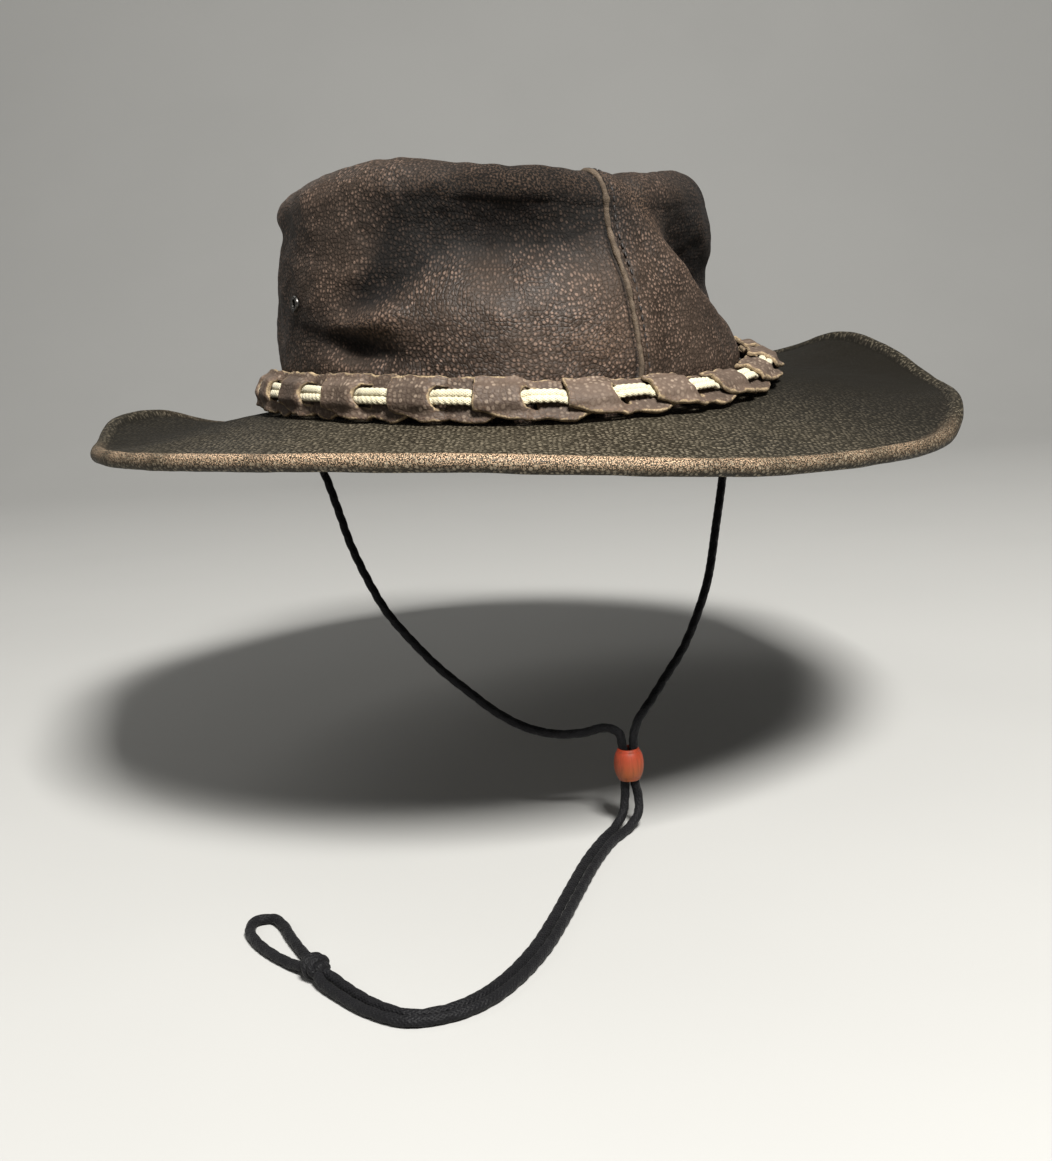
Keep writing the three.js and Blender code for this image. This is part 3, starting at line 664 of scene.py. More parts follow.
def yarn_group():
    """Yarn in a cord: two sets of crossing waves over the pattern's distance and way round, and
    fine noise for the fibres."""
    inputs = [("Vector", "Vector", None), ("Strands Per Metre", "Float", 700.0)]
    outputs = [("Strands", "Float"), ("Fuzz", "Float")]
    tree, given, out = new_group("yarn", inputs, outputs)
    waves = []
    for turn in (0.9, -0.9):
        turned = place(tree, "Mapping", {"Vector": given["Vector"], "Rotation": (0, 0, turn)})
        wave = {"Vector": turned.outputs[0], "Scale": given["Strands Per Metre"], "Distortion": 0.6}
        waves.append(place(tree, "TexWave", wave, wave_type="BANDS").outputs["Fac"])
    fuzz = {"Vector": given["Vector"], "Scale": 2500.0, "Detail": 2.0}
    tree.links.new(maths(tree, "MAXIMUM", waves[0], waves[1]), out["Strands"])
    tree.links.new(place(tree, "TexNoise", fuzz).outputs[0], out["Fuzz"])
    return tree


GROUPS = {}
MATERIALS = {}


def grouped(tree, name, inputs):
    """One of the shared groups, placed in a material with its own values."""
    makers = {
        "pebbled_grain": pebbled_grain_group,
        "soft_blotches": soft_blotches_group,
        "cut_fibres": cut_fibres_group,
        "yarn": yarn_group,
    }
    if name not in GROUPS:
        GROUPS[name] = makers[name]()
    node = tree.nodes.new("ShaderNodeGroup")
    node.node_tree = GROUPS[name]
    for key, value in inputs.items():
        if isinstance(value, bpy.types.NodeSocket):
            tree.links.new(value, node.inputs[key])
        else:
            node.inputs[key].default_value = value
    return node.outputs


def new_material(name):
    """An empty material, its node tree and its Principled shader."""
    material = bpy.data.materials.new(name)
    material.use_nodes = True
    tree = material.node_tree
    shader = tree.nodes["Principled BSDF"]
    return material, tree, shader


def attribute(tree, name):
    """A named value of the mesh."""
    return place(tree, "Attribute", attribute_name=name).outputs["Fac"]


def coordinates(tree):
    """The piece's own pattern and the places of its points."""
    surface = place(tree, "UVMap", uv_map="surface").outputs[0]
    return surface, place(tree, "TexCoord").outputs["Object"]


def bumped(tree, shader, *layers):
    """Bump nodes one after another, each with a height, a depth in metres and a strength."""
    normal = None
    for height, depth, strength in layers:
        inputs = {"Height": height, "Distance": depth, "Strength": strength}
        if normal is not None:
            inputs["Normal"] = normal
        normal = place(tree, "Bump", inputs).outputs[0]
    tree.links.new(normal, shader.inputs["Normal"])


def leather_material(name, looks):
    """Pebbled leather: a dark ground with cloudy patches and painted shade, pale worn grain tops,
    fewer under the painted shade, tan where it is rubbed and where highlights are painted, and raw
    tan fibres where it is cut."""
    material, tree, shader = new_material(name)
    surface, space = coordinates(tree)
    grain = grouped(
        tree,
        "pebbled_grain",
        {
            "Vector": surface,
            "Cells Per Metre": looks["cells"],
            "Spot Size": looks["spot_size"],
            "Spot Share": looks["spot_share"],
        },
    )
    clouds = grouped(tree, "soft_blotches", {"Vector": space, "Patches Per Metre": 22.0})["Mask"]
    low, high = looks["patches"]
    wide = {"Vector": space, "Patches Per Metre": 55.0, "Low": low, "High": high}
    patches = grouped(tree, "soft_blotches", wide)["Mask"]
    patches = fade(tree, patches, 0.0, 1.0, 0.35, 1.0)
    fibres = grouped(tree, "cut_fibres", {"Vector": space})
    speck = {"Vector": surface, "Scale": looks["specks"], "Detail": 2.0}
    speck = place(tree, "TexNoise", speck).outputs[0]
    specks = fade(tree, speck, looks["speck_low"], 0.57, 0.0, 1.0)
    # The wear values also hold painted highlights, on the crown and on the brim's roll.
    rubbed = maths(tree, "MULTIPLY", attribute(tree, "wear"), specks)
    # Painted shade: a darker colour, fewer pale grain tops and more roughness where it is set.
    painted_shade = attribute(tree, "shade_paint")
    unshaded_share = maths(tree, "SUBTRACT", 1.0, maths(tree, "MULTIPLY", painted_shade, 0.8), clamp=True)
    colour = mixed(tree, clouds, looks["dark"], looks["ground"])
    colour = mixed(tree, painted_shade, colour, looks["shade_paint"])
    spotted = maths(tree, "MULTIPLY", maths(tree, "MULTIPLY", grain["Spots"], patches), unshaded_share)
    strength = maths(tree, "MULTIPLY", spotted, looks["spot_strength"], clamp=True)
    colour = mixed(tree, strength, colour, looks["spots"])
    colour = mixed(tree, rubbed, colour, looks["worn"])
    cut_tone = mixed(tree, fibres["Fibres"], looks["cut_dark"], looks["cut"])
    fray = maths(tree, "MULTIPLY", fibres["Fray"], 0.5)
    frayed = maths(tree, "ADD", attribute(tree, "cut"), fray)
    cut = fade(tree, frayed, 0.75, 1.15)
    colour = mixed(tree, cut, colour, cut_tone)
    tree.links.new(colour, shader.inputs["Base Color"])
    rough = fade(tree, clouds, 0.0, 1.0, *looks["rough"])
    rough = maths(tree, "ADD", rough, maths(tree, "MULTIPLY", cut, 0.3))
    rough = maths(tree, "ADD", rough, maths(tree, "MULTIPLY", painted_shade, 0.35), clamp=True)
    tree.links.new(rough, shader.inputs["Roughness"])
    shader.inputs["Specular IOR Level"].default_value = looks["specular"]
    bumped(
        tree,
        shader,
        (clouds, 0.001, 0.2),
        (grain["Height"], looks["grain_depth"], 0.6),
        (specks, 0.00008, 0.5),
    )
    return material


def colour_of(group, key):
    """A colour that the user set, with full opacity."""
    return (*getattr(group, key)[:3], 1.0)


def shade(colour, factor):
    """The same colour, lighter or darker."""
    return (*(min(1.0, channel * factor) for channel in colour[:3]), 1.0)


# The three leathers: their colours among the user's, the tones of their dark patches and of their
# painted shade as shares of the ground, and their grain, specks and gloss.
LEATHERS = {
    "crown_leather": {
        "colours": ("crown", "grain_tops", "rubbed"), "tones": (0.55, 0.08), "cut_tone": 0.5,
        "cells": 600.0, "grain_depth": 0.0002, "specks": 1100.0, "speck_low": 0.5,
        "spot_size": 0.39, "spot_share": 0.1, "spot_strength": 0.7, "patches": (0.32, 0.62),
        "rough": (0.5, 0.66), "specular": 0.31,
    },
    "brim_leather": {
        "colours": ("brim", "brim_tops", "roll_wear_and_highlight"), "tones": (0.6, 0.25), "cut_tone": 0.5,
        "cells": 640.0, "grain_depth": 0.00012, "specks": 2300.0, "speck_low": 0.505,
        "spot_size": 0.44, "spot_share": 0.15, "spot_strength": 0.75, "patches": (0.2, 0.5),
        "rough": (0.45, 0.62), "specular": 0.18,
    },
    "link_leather": {
        "colours": ("links", "link_tops", "rubbed"), "tones": (0.6, 0.3), "cut_tone": 0.45,
        "cells": 560.0, "grain_depth": 0.00012, "specks": 1300.0, "speck_low": 0.5,
        "spot_size": 0.42, "spot_share": 0.35, "spot_strength": 0.62, "patches": (0.35, 0.6),
        "rough": (0.55, 0.72), "specular": 0.26,
    },
}


def hat_leather(name):
    """One of the three leathers, in the colours that the user set."""
    colours = bpy.context.scene.hat_colours
    looks = LEATHERS[name]
    ground, tops, worn = (colour_of(colours, key) for key in looks["colours"])
    dark, shade_paint = (shade(ground, tone) for tone in looks["tones"])
    cut = colour_of(colours, "cut_edge")
    tones = {"ground": ground, "dark": dark, "shade_paint": shade_paint, "spots": tops, "worn": worn}
    cuts = {"cut": cut, "cut_dark": shade(cut, looks["cut_tone"])}
    return leather_material(name, {**looks, **tones, **cuts})


def flesh_side():
    """The brushed inner side of the crown."""
    material, tree, shader = new_material("flesh_side")
    _, space = coordinates(tree)
    fibres = grouped(tree, "cut_fibres", {"Vector": space, "Fibres Per Metre": 1400.0})
    clouds = grouped(tree, "soft_blotches", {"Vector": space, "Patches Per Metre": 30.0})["Mask"]
    base = colour_of(bpy.context.scene.hat_colours, "flesh")
    colour = mixed(tree, clouds, shade(base, 0.7), base)
    colour = mixed(tree, maths(tree, "MULTIPLY", fibres["Fibres"], 0.35), colour, shade(base, 1.5))
    tree.links.new(colour, shader.inputs["Base Color"])
    tree.links.new(fade(tree, fibres["Fray"], 0.0, 1.0, 0.85, 0.95), shader.inputs["Roughness"])
    bumped(tree, shader, (fibres["Fibres"], 0.0002, 0.6))
    return material


def raw_edge():
    """A cut leather edge, rubbed dark in places."""
    material, tree, shader = new_material("raw_edge")
    _, space = coordinates(tree)
    fibres = grouped(tree, "cut_fibres", {"Vector": space, "Fibres Per Metre": 1100.0})
    base = colour_of(bpy.context.scene.hat_colours, "seam_edge")
    colour = mixed(tree, fibres["Fibres"], shade(base, 0.6), base)
    colour = mixed(tree, maths(tree, "MULTIPLY", fibres["Fray"], 0.55), colour, shade(base, 0.35))
    tree.links.new(colour, shader.inputs["Base Color"])
    tree.links.new(fade(tree, fibres["Fray"], 0.0, 1.0, 0.75, 0.9), shader.inputs["Roughness"])
    bumped(tree, shader, (fibres["Fibres"], 0.0002, 0.6))
    return material


def cord_material(name, base, strands, light, roughness, sheen, specular):
    """Twisted or braided yarn with painted shade between its strands, and lighter patches and
    fuzz that are partly painted highlights.
    """
    material, tree, shader = new_material(name)
    surface, space = coordinates(tree)
    yarn = grouped(tree, "yarn", {"Vector": surface, "Strands Per Metre": strands})
    clouds = grouped(tree, "soft_blotches", {"Vector": space, "Patches Per Metre": 90.0})["Mask"]
    # Painted shade between the strands.
    colour = mixed(tree, fade(tree, yarn["Strands"], 0.2, 0.9), shade(base, 0.4), base)
    # Lighter patches and fuzz, by the light factor: partly painted highlights.
    colour = mixed(tree, maths(tree, "MULTIPLY", clouds, 0.35), colour, shade(base, light))
    colour = mixed(tree, maths(tree, "MULTIPLY", yarn["Fuzz"], 0.3), colour, shade(base, light))
    tree.links.new(colour, shader.inputs["Base Color"])
    rough = fade(tree, yarn["Fuzz"], 0.3, 0.7, roughness, min(1.0, roughness + 0.12))
    tree.links.new(rough, shader.inputs["Roughness"])
    shader.inputs["Sheen Weight"].default_value = sheen
    shader.inputs["Specular IOR Level"].default_value = specular
    shader.inputs["Sheen Roughness"].default_value = 0.5
    bumped(tree, shader, (yarn["Strands"], 0.00025, 0.7), (yarn["Fuzz"], 0.00008, 0.5))
    return material


def bead_wood():
    """Stained turned wood: fine rings round the bead's axis, redder at its top."""
    material, tree, shader = new_material("bead_wood")
    _, space = coordinates(tree)
    colours = bpy.context.scene.hat_colours
    base, red = colour_of(colours, "bead"), colour_of(colours, "bead_top")
    centre = [-METRE * value for value in BEAD_CENTRE]
    local = place(tree, "Mapping", {"Vector": space, "Location": centre})
    stretched = place(tree, "Mapping", {"Vector": local.outputs[0], "Scale": (1.0, 1.0, 0.12)})
    grain = {"Vector": stretched.outputs[0], "Scale": 900.0, "Detail": 4.0, "Distortion": 0.8}
    lines = place(tree, "TexNoise", grain).outputs[0]
    height = place(tree, "SeparateXYZ", {0: local.outputs[0]}).outputs[2]
    patches = grouped(tree, "soft_blotches", {"Vector": space, "Patches Per Metre": 160.0})["Mask"]
    upper = fade(tree, height, -0.005, 0.006)
    colour = mixed(tree, upper, base, red)
    colour = mixed(tree, fade(tree, lines, 0.45, 0.7, 0.0, 0.55), colour, shade(base, 0.45))
    colour = mixed(tree, maths(tree, "MULTIPLY", patches, 0.35), colour, shade(red, 0.6))
    tree.links.new(colour, shader.inputs["Base Color"])
    tree.links.new(fade(tree, lines, 0.3, 0.7, 0.5, 0.62), shader.inputs["Roughness"])
    shader.inputs["Coat Weight"].default_value = 0.1
    shader.inputs["Coat Roughness"].default_value = 0.4
    bumped(tree, shader, (lines, 0.00015, 0.4))
    return material


def eyelet_metal():
    """Dull plated metal with dark tarnish."""
    material, tree, shader = new_material("eyelet_metal")
    _, space = coordinates(tree)
    tarnish = grouped(tree, "soft_blotches", {"Vector": space, "Patches Per Metre": 500.0})["Mask"]
    base = colour_of(bpy.context.scene.hat_colours, "eyelet")
    colour = mixed(tree, maths(tree, "MULTIPLY", tarnish, 0.6), base, shade(base, 0.25))
    tree.links.new(colour, shader.inputs["Base Color"])
    tree.links.new(fade(tree, tarnish, 0.0, 1.0, 0.28, 0.55), shader.inputs["Roughness"])
    shader.inputs["Metallic"].default_value = 0.95
    return material


def painted_hole_shade():
    """Painted shade: a near-black finish for the darkness inside a vent hole and between stitches."""
    material, tree, shader = new_material("painted_hole_shade")
    _, space = coordinates(tree)
    clouds = grouped(tree, "soft_blotches", {"Vector": space, "Patches Per Metre": 700.0})["Mask"]
    colour = mixed(tree, clouds, (0.002, 0.002, 0.002, 1.0), (0.008, 0.006, 0.005, 1.0))
    tree.links.new(colour, shader.inputs["Base Color"])
    shader.inputs["Roughness"].default_value = 0.9
    return material


def stitch_thread():
    """Dark waxed thread."""
    material, tree, shader = new_material("stitch_thread")
    _, space = coordinates(tree)
    twist = {"Vector": space, "Scale": 1600.0, "Detail": 2.0}
    lines = place(tree, "TexNoise", twist).outputs[0]
    base = colour_of(bpy.context.scene.hat_colours, "thread")
    colour = mixed(tree, lines, shade(base, 0.5), shade(base, 1.6))
    tree.links.new(colour, shader.inputs["Base Color"])
    tree.links.new(fade(tree, lines, 0.3, 0.7, 0.5, 0.7), shader.inputs["Roughness"])
    return material


def lace_cotton():
    """Cream cotton, matt and a little fuzzy."""
    base = colour_of(bpy.context.scene.hat_colours, "lace")
    return cord_material("lace_cotton", base, 420.0, 1.15, 0.85, 0.25, 0.25)


def black_cord():
    """Black braid with a low gloss."""
    base = colour_of(bpy.context.scene.hat_colours, "cord")
    return cord_material("black_cord", base, 330.0, 1.8, 0.5, 0.02, 0.15)


def material_of(name):
    """A finish by name, made on its first use."""
    makers = (
        flesh_side, raw_edge, lace_cotton, black_cord, bead_wood, eyelet_metal, painted_hole_shade,
        stitch_thread,
    )
    if name not in MATERIALS and name in LEATHERS:
        MATERIALS[name] = hat_leather(name)
    elif name not in MATERIALS:
        MATERIALS[name] = {maker.__name__: maker for maker in makers}[name]()
    return MATERIALS[name]


# Pieces


def build_camera():
    """A camera at the photograph's place: pitched down, and rolled so that +X rises."""
    stage = bpy.context.scene.hat_stage
    pitch, roll = stage.camera_pitch, stage.camera_roll
    forward = Vector((0, np.cos(pitch), -np.sin(pitch)))
    right = Vector((1, 0, 0))
    upright = right.cross(forward)
    across = right * np.cos(roll) - upright * np.sin(roll)
    upwards = upright * np.cos(roll) + right * np.sin(roll)
    data = bpy.data.cameras.new("photo_view")
    data.lens = stage.lens
    data.sensor_width = 36
    data.clip_start = 0.01
    camera = bpy.data.objects.new("photo_view", data)
    turned = Matrix((across, upwards, -forward)).transposed().to_4x4()
    camera.matrix_world = Matrix.Translation(stage.camera_place) @ turned
    bpy.context.scene.collection.objects.link(camera)
    bpy.context.scene.camera = camera


CORD_REFERENCE = np.array([0.5, 0.0, 0.86])
CORD_STEP = 0.5
CORD_SIDES = 24


def braid_relief(distance, turn):
    """Crossing strands: the larger of two sets of helical swells, three lobes each way."""
    pitch = bpy.context.scene.hat_sizes.braid_pitch / METRE
    lean = 2 * np.pi * distance / pitch
    lobes = BRAID["lobes"] / 2 * turn
    one = np.abs(np.cos(lobes + lean / 2))
    other = np.abs(np.cos(lobes - lean / 2))
    return BRAID["valley"] + BRAID["swell"] * np.maximum(one, other) ** 2


def build_cords():
    """The chin cord's two lengths, each a braided tube from its exit through the bead to the
    knot, one of them going on round the end loop."""
    sizes = bpy.context.scene.hat_sizes
    radius = sizes.cord_diameter / METRE / 2
    into_knot = [tuple(KNOT_CENTRE)]
    routes = {
        "right": RIGHT_CHIN_ROUTE + RIGHT_TAIL_ROUTE + into_knot + LOOP_ROUTE + into_knot,
        "left": LEFT_CHIN_ROUTE + LEFT_TAIL_ROUTE + into_knot,
    }
    nodes = {
        "right": ("chin_cord_right", "tail_strand_right", "end_loop"),
        "left": ("chin_cord_left", "tail_strand_left"),
    }
    for side, route in routes.items():
        path = smooth_route(route, CORD_STEP)
        points, faces, uv = tube(path, radius, CORD_SIDES, CORD_REFERENCE, braid_relief)
        last_column = uv[0].reshape(len(path) - 1, CORD_SIDES, 4, 2)[:, -1]
        last_column[:, 1:3, 1] = radius * 2 * np.pi
        cord = make_piece(f"braided_cord_{side}", points, faces, [material_of("black_cord")], uv)
        dress(cord, "black_cord", *nodes[side])
    bead, knot = build_bead(), build_knot()


def lathe(profile, columns, centre, axes):
    """A profile of (radius, height) turned round an axis: centre + radius (cos, sin) + height."""
    turn = np.arange(columns) * 2 * np.pi / columns
    radius, height = np.array(profile, float).T
    side, other, along = axes
    ring = side * np.cos(turn)[:, None] + other * np.sin(turn)[:, None]
    return centre + radius[:, None, None] * ring + height[:, None, None] * along


def build_bead():
    """The bead: a barrel turned round Z. Its side swells with (1 - rise2) to a power, and its
    lips are rounded into the bore."""
    rise = np.linspace(-1, 1, 33)
    half, lip, lip_round = BEAD["height"] / 2, BEAD["lip"], 0.6
    swell = BEAD["radius"] - BEAD["end_radius"]
    side = BEAD["end_radius"] + swell * (1 - rise**2) ** BEAD["arc"]
    outer = [(radius, (half - lip) * height) for radius, height in zip(side, rise)]
    centre_radius = BEAD["end_radius"] - lip * 0.2
    top = []
    for turn in np.linspace(0, np.pi / 2, 7)[1:]:
        radius = centre_radius + lip * 0.2 * np.cos(turn) - lip * lip_round * (1 - np.cos(turn))
        top.append((radius, half - lip + lip * np.sin(turn)))
    bore = [(BEAD["bore"], half - lip_round), (BEAD["bore"], lip_round - half)]
    bottom = [(radius, -height) for radius, height in reversed(top)]
    profile = outer + top + bore + bottom
    columns = 64
    axes = (np.array([1.0, 0, 0]), np.array([0, 1.0, 0]), UP)
    points = lathe(profile, columns, np.array(BEAD_CENTRE, float), axes)
    quads = grid_quads(len(profile), columns, wrap_rows=True, wrap_columns=True)
    bead = make_piece("wooden_bead", points, [quads], [material_of("bead_wood")])
    return dress(bead, "bead_wood", "bead")


KNOT_SIDES = 16
KNOT_REFERENCE = np.array([0.3, 0.2, 0.93])


def build_knot():
    """The knot: two strands wound one and a quarter times round the tail, on a helix whose
    radius swells in the middle, over a core of the strands that run through it."""
    turn = np.radians(KNOT["turn"])
    along = np.array([np.cos(turn), np.sin(turn), 0.0])
    across = np.array([-np.sin(turn), np.cos(turn), 0.0])
    centre = np.array(KNOT_CENTRE, float)
    strand = KNOT["strand"]
    length = KNOT["length"] / 2 - strand
    half_width = KNOT["width"] / 2 - strand
    half_height = KNOT["height"] / 2 - strand
    t = np.linspace(-1, 1, 60)
    swell = np.sqrt(np.clip(1 - (t * KNOT_WINDING["fullness"]) ** 2, 0, 1))
    points, faces, uv, start = [], [], [], 0
    for phase, wound, reach, girth in KNOT_STRANDS:
        spin = phase + wound * KNOT_WINDING["turns"] * np.pi * t
        path = (
            centre
            + along * (length * t * reach)[:, None]
            + across * (wound * half_width * swell * np.cos(spin))[:, None]
            + UP * (wound * half_height * swell * np.sin(spin))[:, None]
        )
        radius = strand * girth
        body, groups, places = tube(path, radius, KNOT_SIDES, KNOT_REFERENCE, braid_relief)
        uv += places
        faces += [group + start for group in groups]
        points.append(body.reshape(-1, 3))
        start += len(points[-1])
    material = material_of("black_cord")
    knot = make_piece("overhand_knot", np.concatenate(points), faces, [material], uv)
    return dress(knot, "black_cord", "end_knot")


CROWN_GRID = {"columns": 468, "wall": 88, "shoulder": 22, "top": 34, "inner": 34}
# Columns of the crown beside each lap, in millimetres from it, and rows at the top seam.
LAP_COLUMNS = np.array([-2.4, -1.9, -1.5, -1.1, 0.7, 0.8, 0.9, 1.0, 2.4, 3.0, 3.6])
TIP_ROWS = np.array([-0.05, -0.03, -0.015, -0.007, 0.0, 0.007, 0.015, 0.03])
MM_PER_DEGREE = 1.68
# Levels: the seam round the top, the last row before the middle, and where the foot ends.
TIP_SEAM = 2.16
TOP_END = 2.97
FOOT_END = 0.05
# How far the foot reaches down past its plane, and over how many degrees the columns follow the
# front seam.
FOOT_SINK = 1.0
SEAM_PULL = 18.0
# The crown's wrinkles: the level where they are full, how deep the fine ones are beside the
# wide ones, and the levels where they fade out before the middle.
WRINKLES = {"full": 0.12, "fine": 0.5, "fade": (2.75, 2.95)}
# Wear on the crown's bulges: a bulge's reach in grid cells, its heights in millimetres, how
# strong the wear is and the level where it ends. The table's rubbed places and painted highlights
# end at their own level, where the painted shade starts to fade out.
BULGE = {"reach": 9, "heights": (0.5, 1.8), "wear": 0.2, "end": 2.3}
SHADE_AND_RUB_END = 1.8
# The dark line beside the front lap, in millimetres.
LAP_SHADOW = {"place": -1.6, "width": 0.5}


def seam_offset(azimuth, home):
    """How far a column lies beside a seam, in millimetres at the seam."""
    return (np.mod(azimuth - home + 180, 360) - 180) * MM_PER_DEGREE


def seam_azimuth(rows, level):
    """A seam's azimuth at a level, on straight lines between its rows."""
    table = np.array(rows, float)
    return np.interp(level, table[:, 0], table[:, 1])


def lap_profile(offset):
    """The lapped seam's section: a shallow groove before the cut edge, then the upper leather
    at the lap's height, thinning away over the next centimetre or so."""
    lap = bpy.context.scene.hat_sizes.lap_height / METRE
    width = LAP["line_width"]
    groove = LAP["groove"] * np.exp(-(((offset - LAP["groove_place"]) / width) ** 2))
    over = lap * smoothstep(*LAP["rise"], offset) * (1 - smoothstep(*LAP["thinning"], offset))
    furrow = LAP["furrow"] * np.exp(-(((offset - LAP["stitch_line"]) / width) ** 2))
    return over - groove - furrow


def crown_columns():
    """Azimuths of the crown's columns, starting at the back seam, with extra ones at each lap."""
    plain = np.linspace(0, 360, CROWN_GRID["columns"], endpoint=False) + SEAM_HOME["back"]
    extra = LAP_COLUMNS / MM_PER_DEGREE
    lapped = np.concatenate([SEAM_HOME["front"] + extra, SEAM_HOME["back"] + extra[extra > 0.0]])
    late = SEAM_HOME["back"] + 360 + extra[extra < 0.0]
    return np.sort(np.concatenate([plain, lapped, late]))


def crown_detail(azimuth_column, level):
    """The crown's outer skin with its laps, wrinkles and top seam added along its normals."""
    sizes = bpy.context.scene.hat_sizes
    azimuth = azimuth_column.copy()
    near = np.exp(-(((azimuth_column - SEAM_HOME["front"]) / SEAM_PULL) ** 2))
    azimuth = azimuth + (seam_azimuth(FRONT_SEAM, level) - SEAM_HOME["front"]) * near
    point = crown_point(azimuth, level, 0.0)
    lift = np.zeros(level.shape)
    end_low, end_high = LAP["end"]
    below_tip = 1 - smoothstep(TIP_SEAM - end_low, TIP_SEAM - end_high, level)
    for home in SEAM_HOME.values():
        lift += lap_profile(seam_offset(azimuth_column, home)) * below_tip
    wrinkle = sizes.wrinkle_depth / METRE
    foothold = smoothstep(0.0, WRINKLES["full"], level)
    lift += wrinkle * ripples(point, "crown_wide") * foothold
    lift += wrinkle * WRINKLES["fine"] * ripples(point, "crown_fine") * foothold
    welt = TOP_WELT
    above = level - TIP_SEAM
    lift -= welt["furrow"] * np.exp(-((above / welt["furrow_width"]) ** 2))
    lift += welt["welt"] * np.exp(-(((above + welt["below"]) / welt["welt_width"]) ** 2))
    fading = 1 - smoothstep(*WRINKLES["fade"], level)
    skin = point + grid_normals(point) * (lift * fading)[..., None]
    skin[..., 2] -= FOOT_SINK * (1 - smoothstep(0, FOOT_END, level))
    return skin, azimuth


def crown_wear(azimuth, level, skin):
    """Where the crown is rubbed, in its table's places and a little on every bulge, with painted
    highlights among them, and where shade is painted: in the hollows and beside the front lap."""
    bulge = ((skin - box_blur(skin, BULGE["reach"])) * grid_normals(skin)).sum(-1)
    z = skin[..., 2]
    # Rubbed places and painted highlights, up to their level.
    rubbed = sum(soft_spot(row, azimuth, z) for row in RUBBED_AND_HIGHLIT_PLACES) * (level < SHADE_AND_RUB_END)
    wear = smoothstep(*BULGE["heights"], bulge) * BULGE["wear"] * (level < BULGE["end"]) + rubbed
    # Painted shade in the crown's hollows and where it faces away from the light, faded out over the
    # top.
    painted_shade = sum(soft_spot(row, azimuth, z) for row in PAINTED_SHADE_PLACES)
    painted_shade = np.clip(painted_shade, 0, 1) * (1 - smoothstep(SHADE_AND_RUB_END, TIP_SEAM, level))
    beside_lap = (azimuth - seam_azimuth(FRONT_SEAM, level)) * MM_PER_DEGREE
    lap_shadow = np.exp(-(((beside_lap - LAP_SHADOW["place"]) / LAP_SHADOW["width"]) ** 2))
    painted_shade = painted_shade + lap_shadow * (level < TIP_SEAM)
    return np.clip(wear, 0, 1), np.clip(painted_shade, 0, 1)


def box_blur(values, reach):
    """A running mean over both directions of a grid, closed round its columns."""
    for axis, mode in ((1, "wrap"), (0, "edge")):
        width = [(0, 0)] * values.ndim
        width[axis] = (reach, reach)
        padded = np.pad(values, width, mode=mode)
        total = np.cumsum(padded, axis=axis)
        zero = np.zeros_like(np.take(total, [0], axis=axis))
        total = np.concatenate([zero, total], axis=axis)
        size = 2 * reach + 1
        count = values.shape[axis]
        high = np.take(total, np.arange(size, size + count), axis=axis)
        low = np.take(total, np.arange(count), axis=axis)
        values = (high - low) / size
    return values


def build_crown():
    """The crown: one skin up the outside, over the top to its middle, and one inside it."""
    grid = CROWN_GRID
    columns = crown_columns()
    wall = np.linspace(0, 1, grid["wall"], endpoint=False)
    shoulder = np.linspace(1, 2, grid["shoulder"], endpoint=False)
    top = np.linspace(2.0, TOP_END, grid["top"])
    levels = np.unique(np.concatenate([wall, shoulder, top, TIP_SEAM + TIP_ROWS]))
    column, level = np.meshgrid(columns, levels)
    outer, azimuth = crown_detail(column, level)
    wear, painted_shade = crown_wear(azimuth, level, outer)
    inner_top = np.linspace(2.08, TOP_END, 10)
    inner_levels = np.concatenate([np.linspace(0, 2, grid["inner"]), inner_top])
    inner_column, inner_level = np.meshgrid(columns, inner_levels)
    inner = crown_point(inner_column, inner_level, LEATHER)
    inner[..., 2] -= FOOT_SINK * (1 - smoothstep(0, FOOT_END, inner_level))
    count, rows, inner_rows = len(columns), len(levels), len(inner_levels)
    centre = crown_point(np.zeros(2), np.full(2, 3.0), 0.0)[0]
    points = np.concatenate(
        [outer.reshape(-1, 3), inner.reshape(-1, 3), [centre, centre - UP * LEATHER]]
    )
    shift = rows * count
    ends = shift + inner_rows * count
    ids = np.arange(count)
    after = np.roll(ids, -1)
    outside = grid_quads(rows, count, wrap_columns=True)
    inside = grid_quads(inner_rows, count, wrap_columns=True)[:, ::-1] + shift
    last = (rows - 1) * count
    inner_last = shift + (inner_rows - 1) * count
    cap = np.stack([ids + last, after + last, np.full(count, ends)], -1)
    inner_cap = np.stack([after + inner_last, ids + inner_last, np.full(count, ends + 1)], -1)
    foot = np.stack([ids, ids + shift, after + shift, after], -1)
    faces = [outside, cap, inside, inner_cap, foot]
    uv = crown_places(outer, levels, columns, faces, points)
    materials = [material_of("crown_leather"), material_of("flesh_side")]
    kinds = [0, 0, 1, 1, 0]
    face_materials = np.repeat(kinds, [len(group) for group in faces])
    rest = np.zeros(len(points) - shift)
    values = {
        "wear": np.concatenate([wear.ravel(), rest]),
        "shade_paint": np.concatenate([painted_shade.ravel(), rest]),
        "cut": np.zeros(len(points)),
    }
    crown = make_piece("crown_shell", points, faces, materials, uv, values, face_materials)
    dress(crown, "crown_leather", "crown")


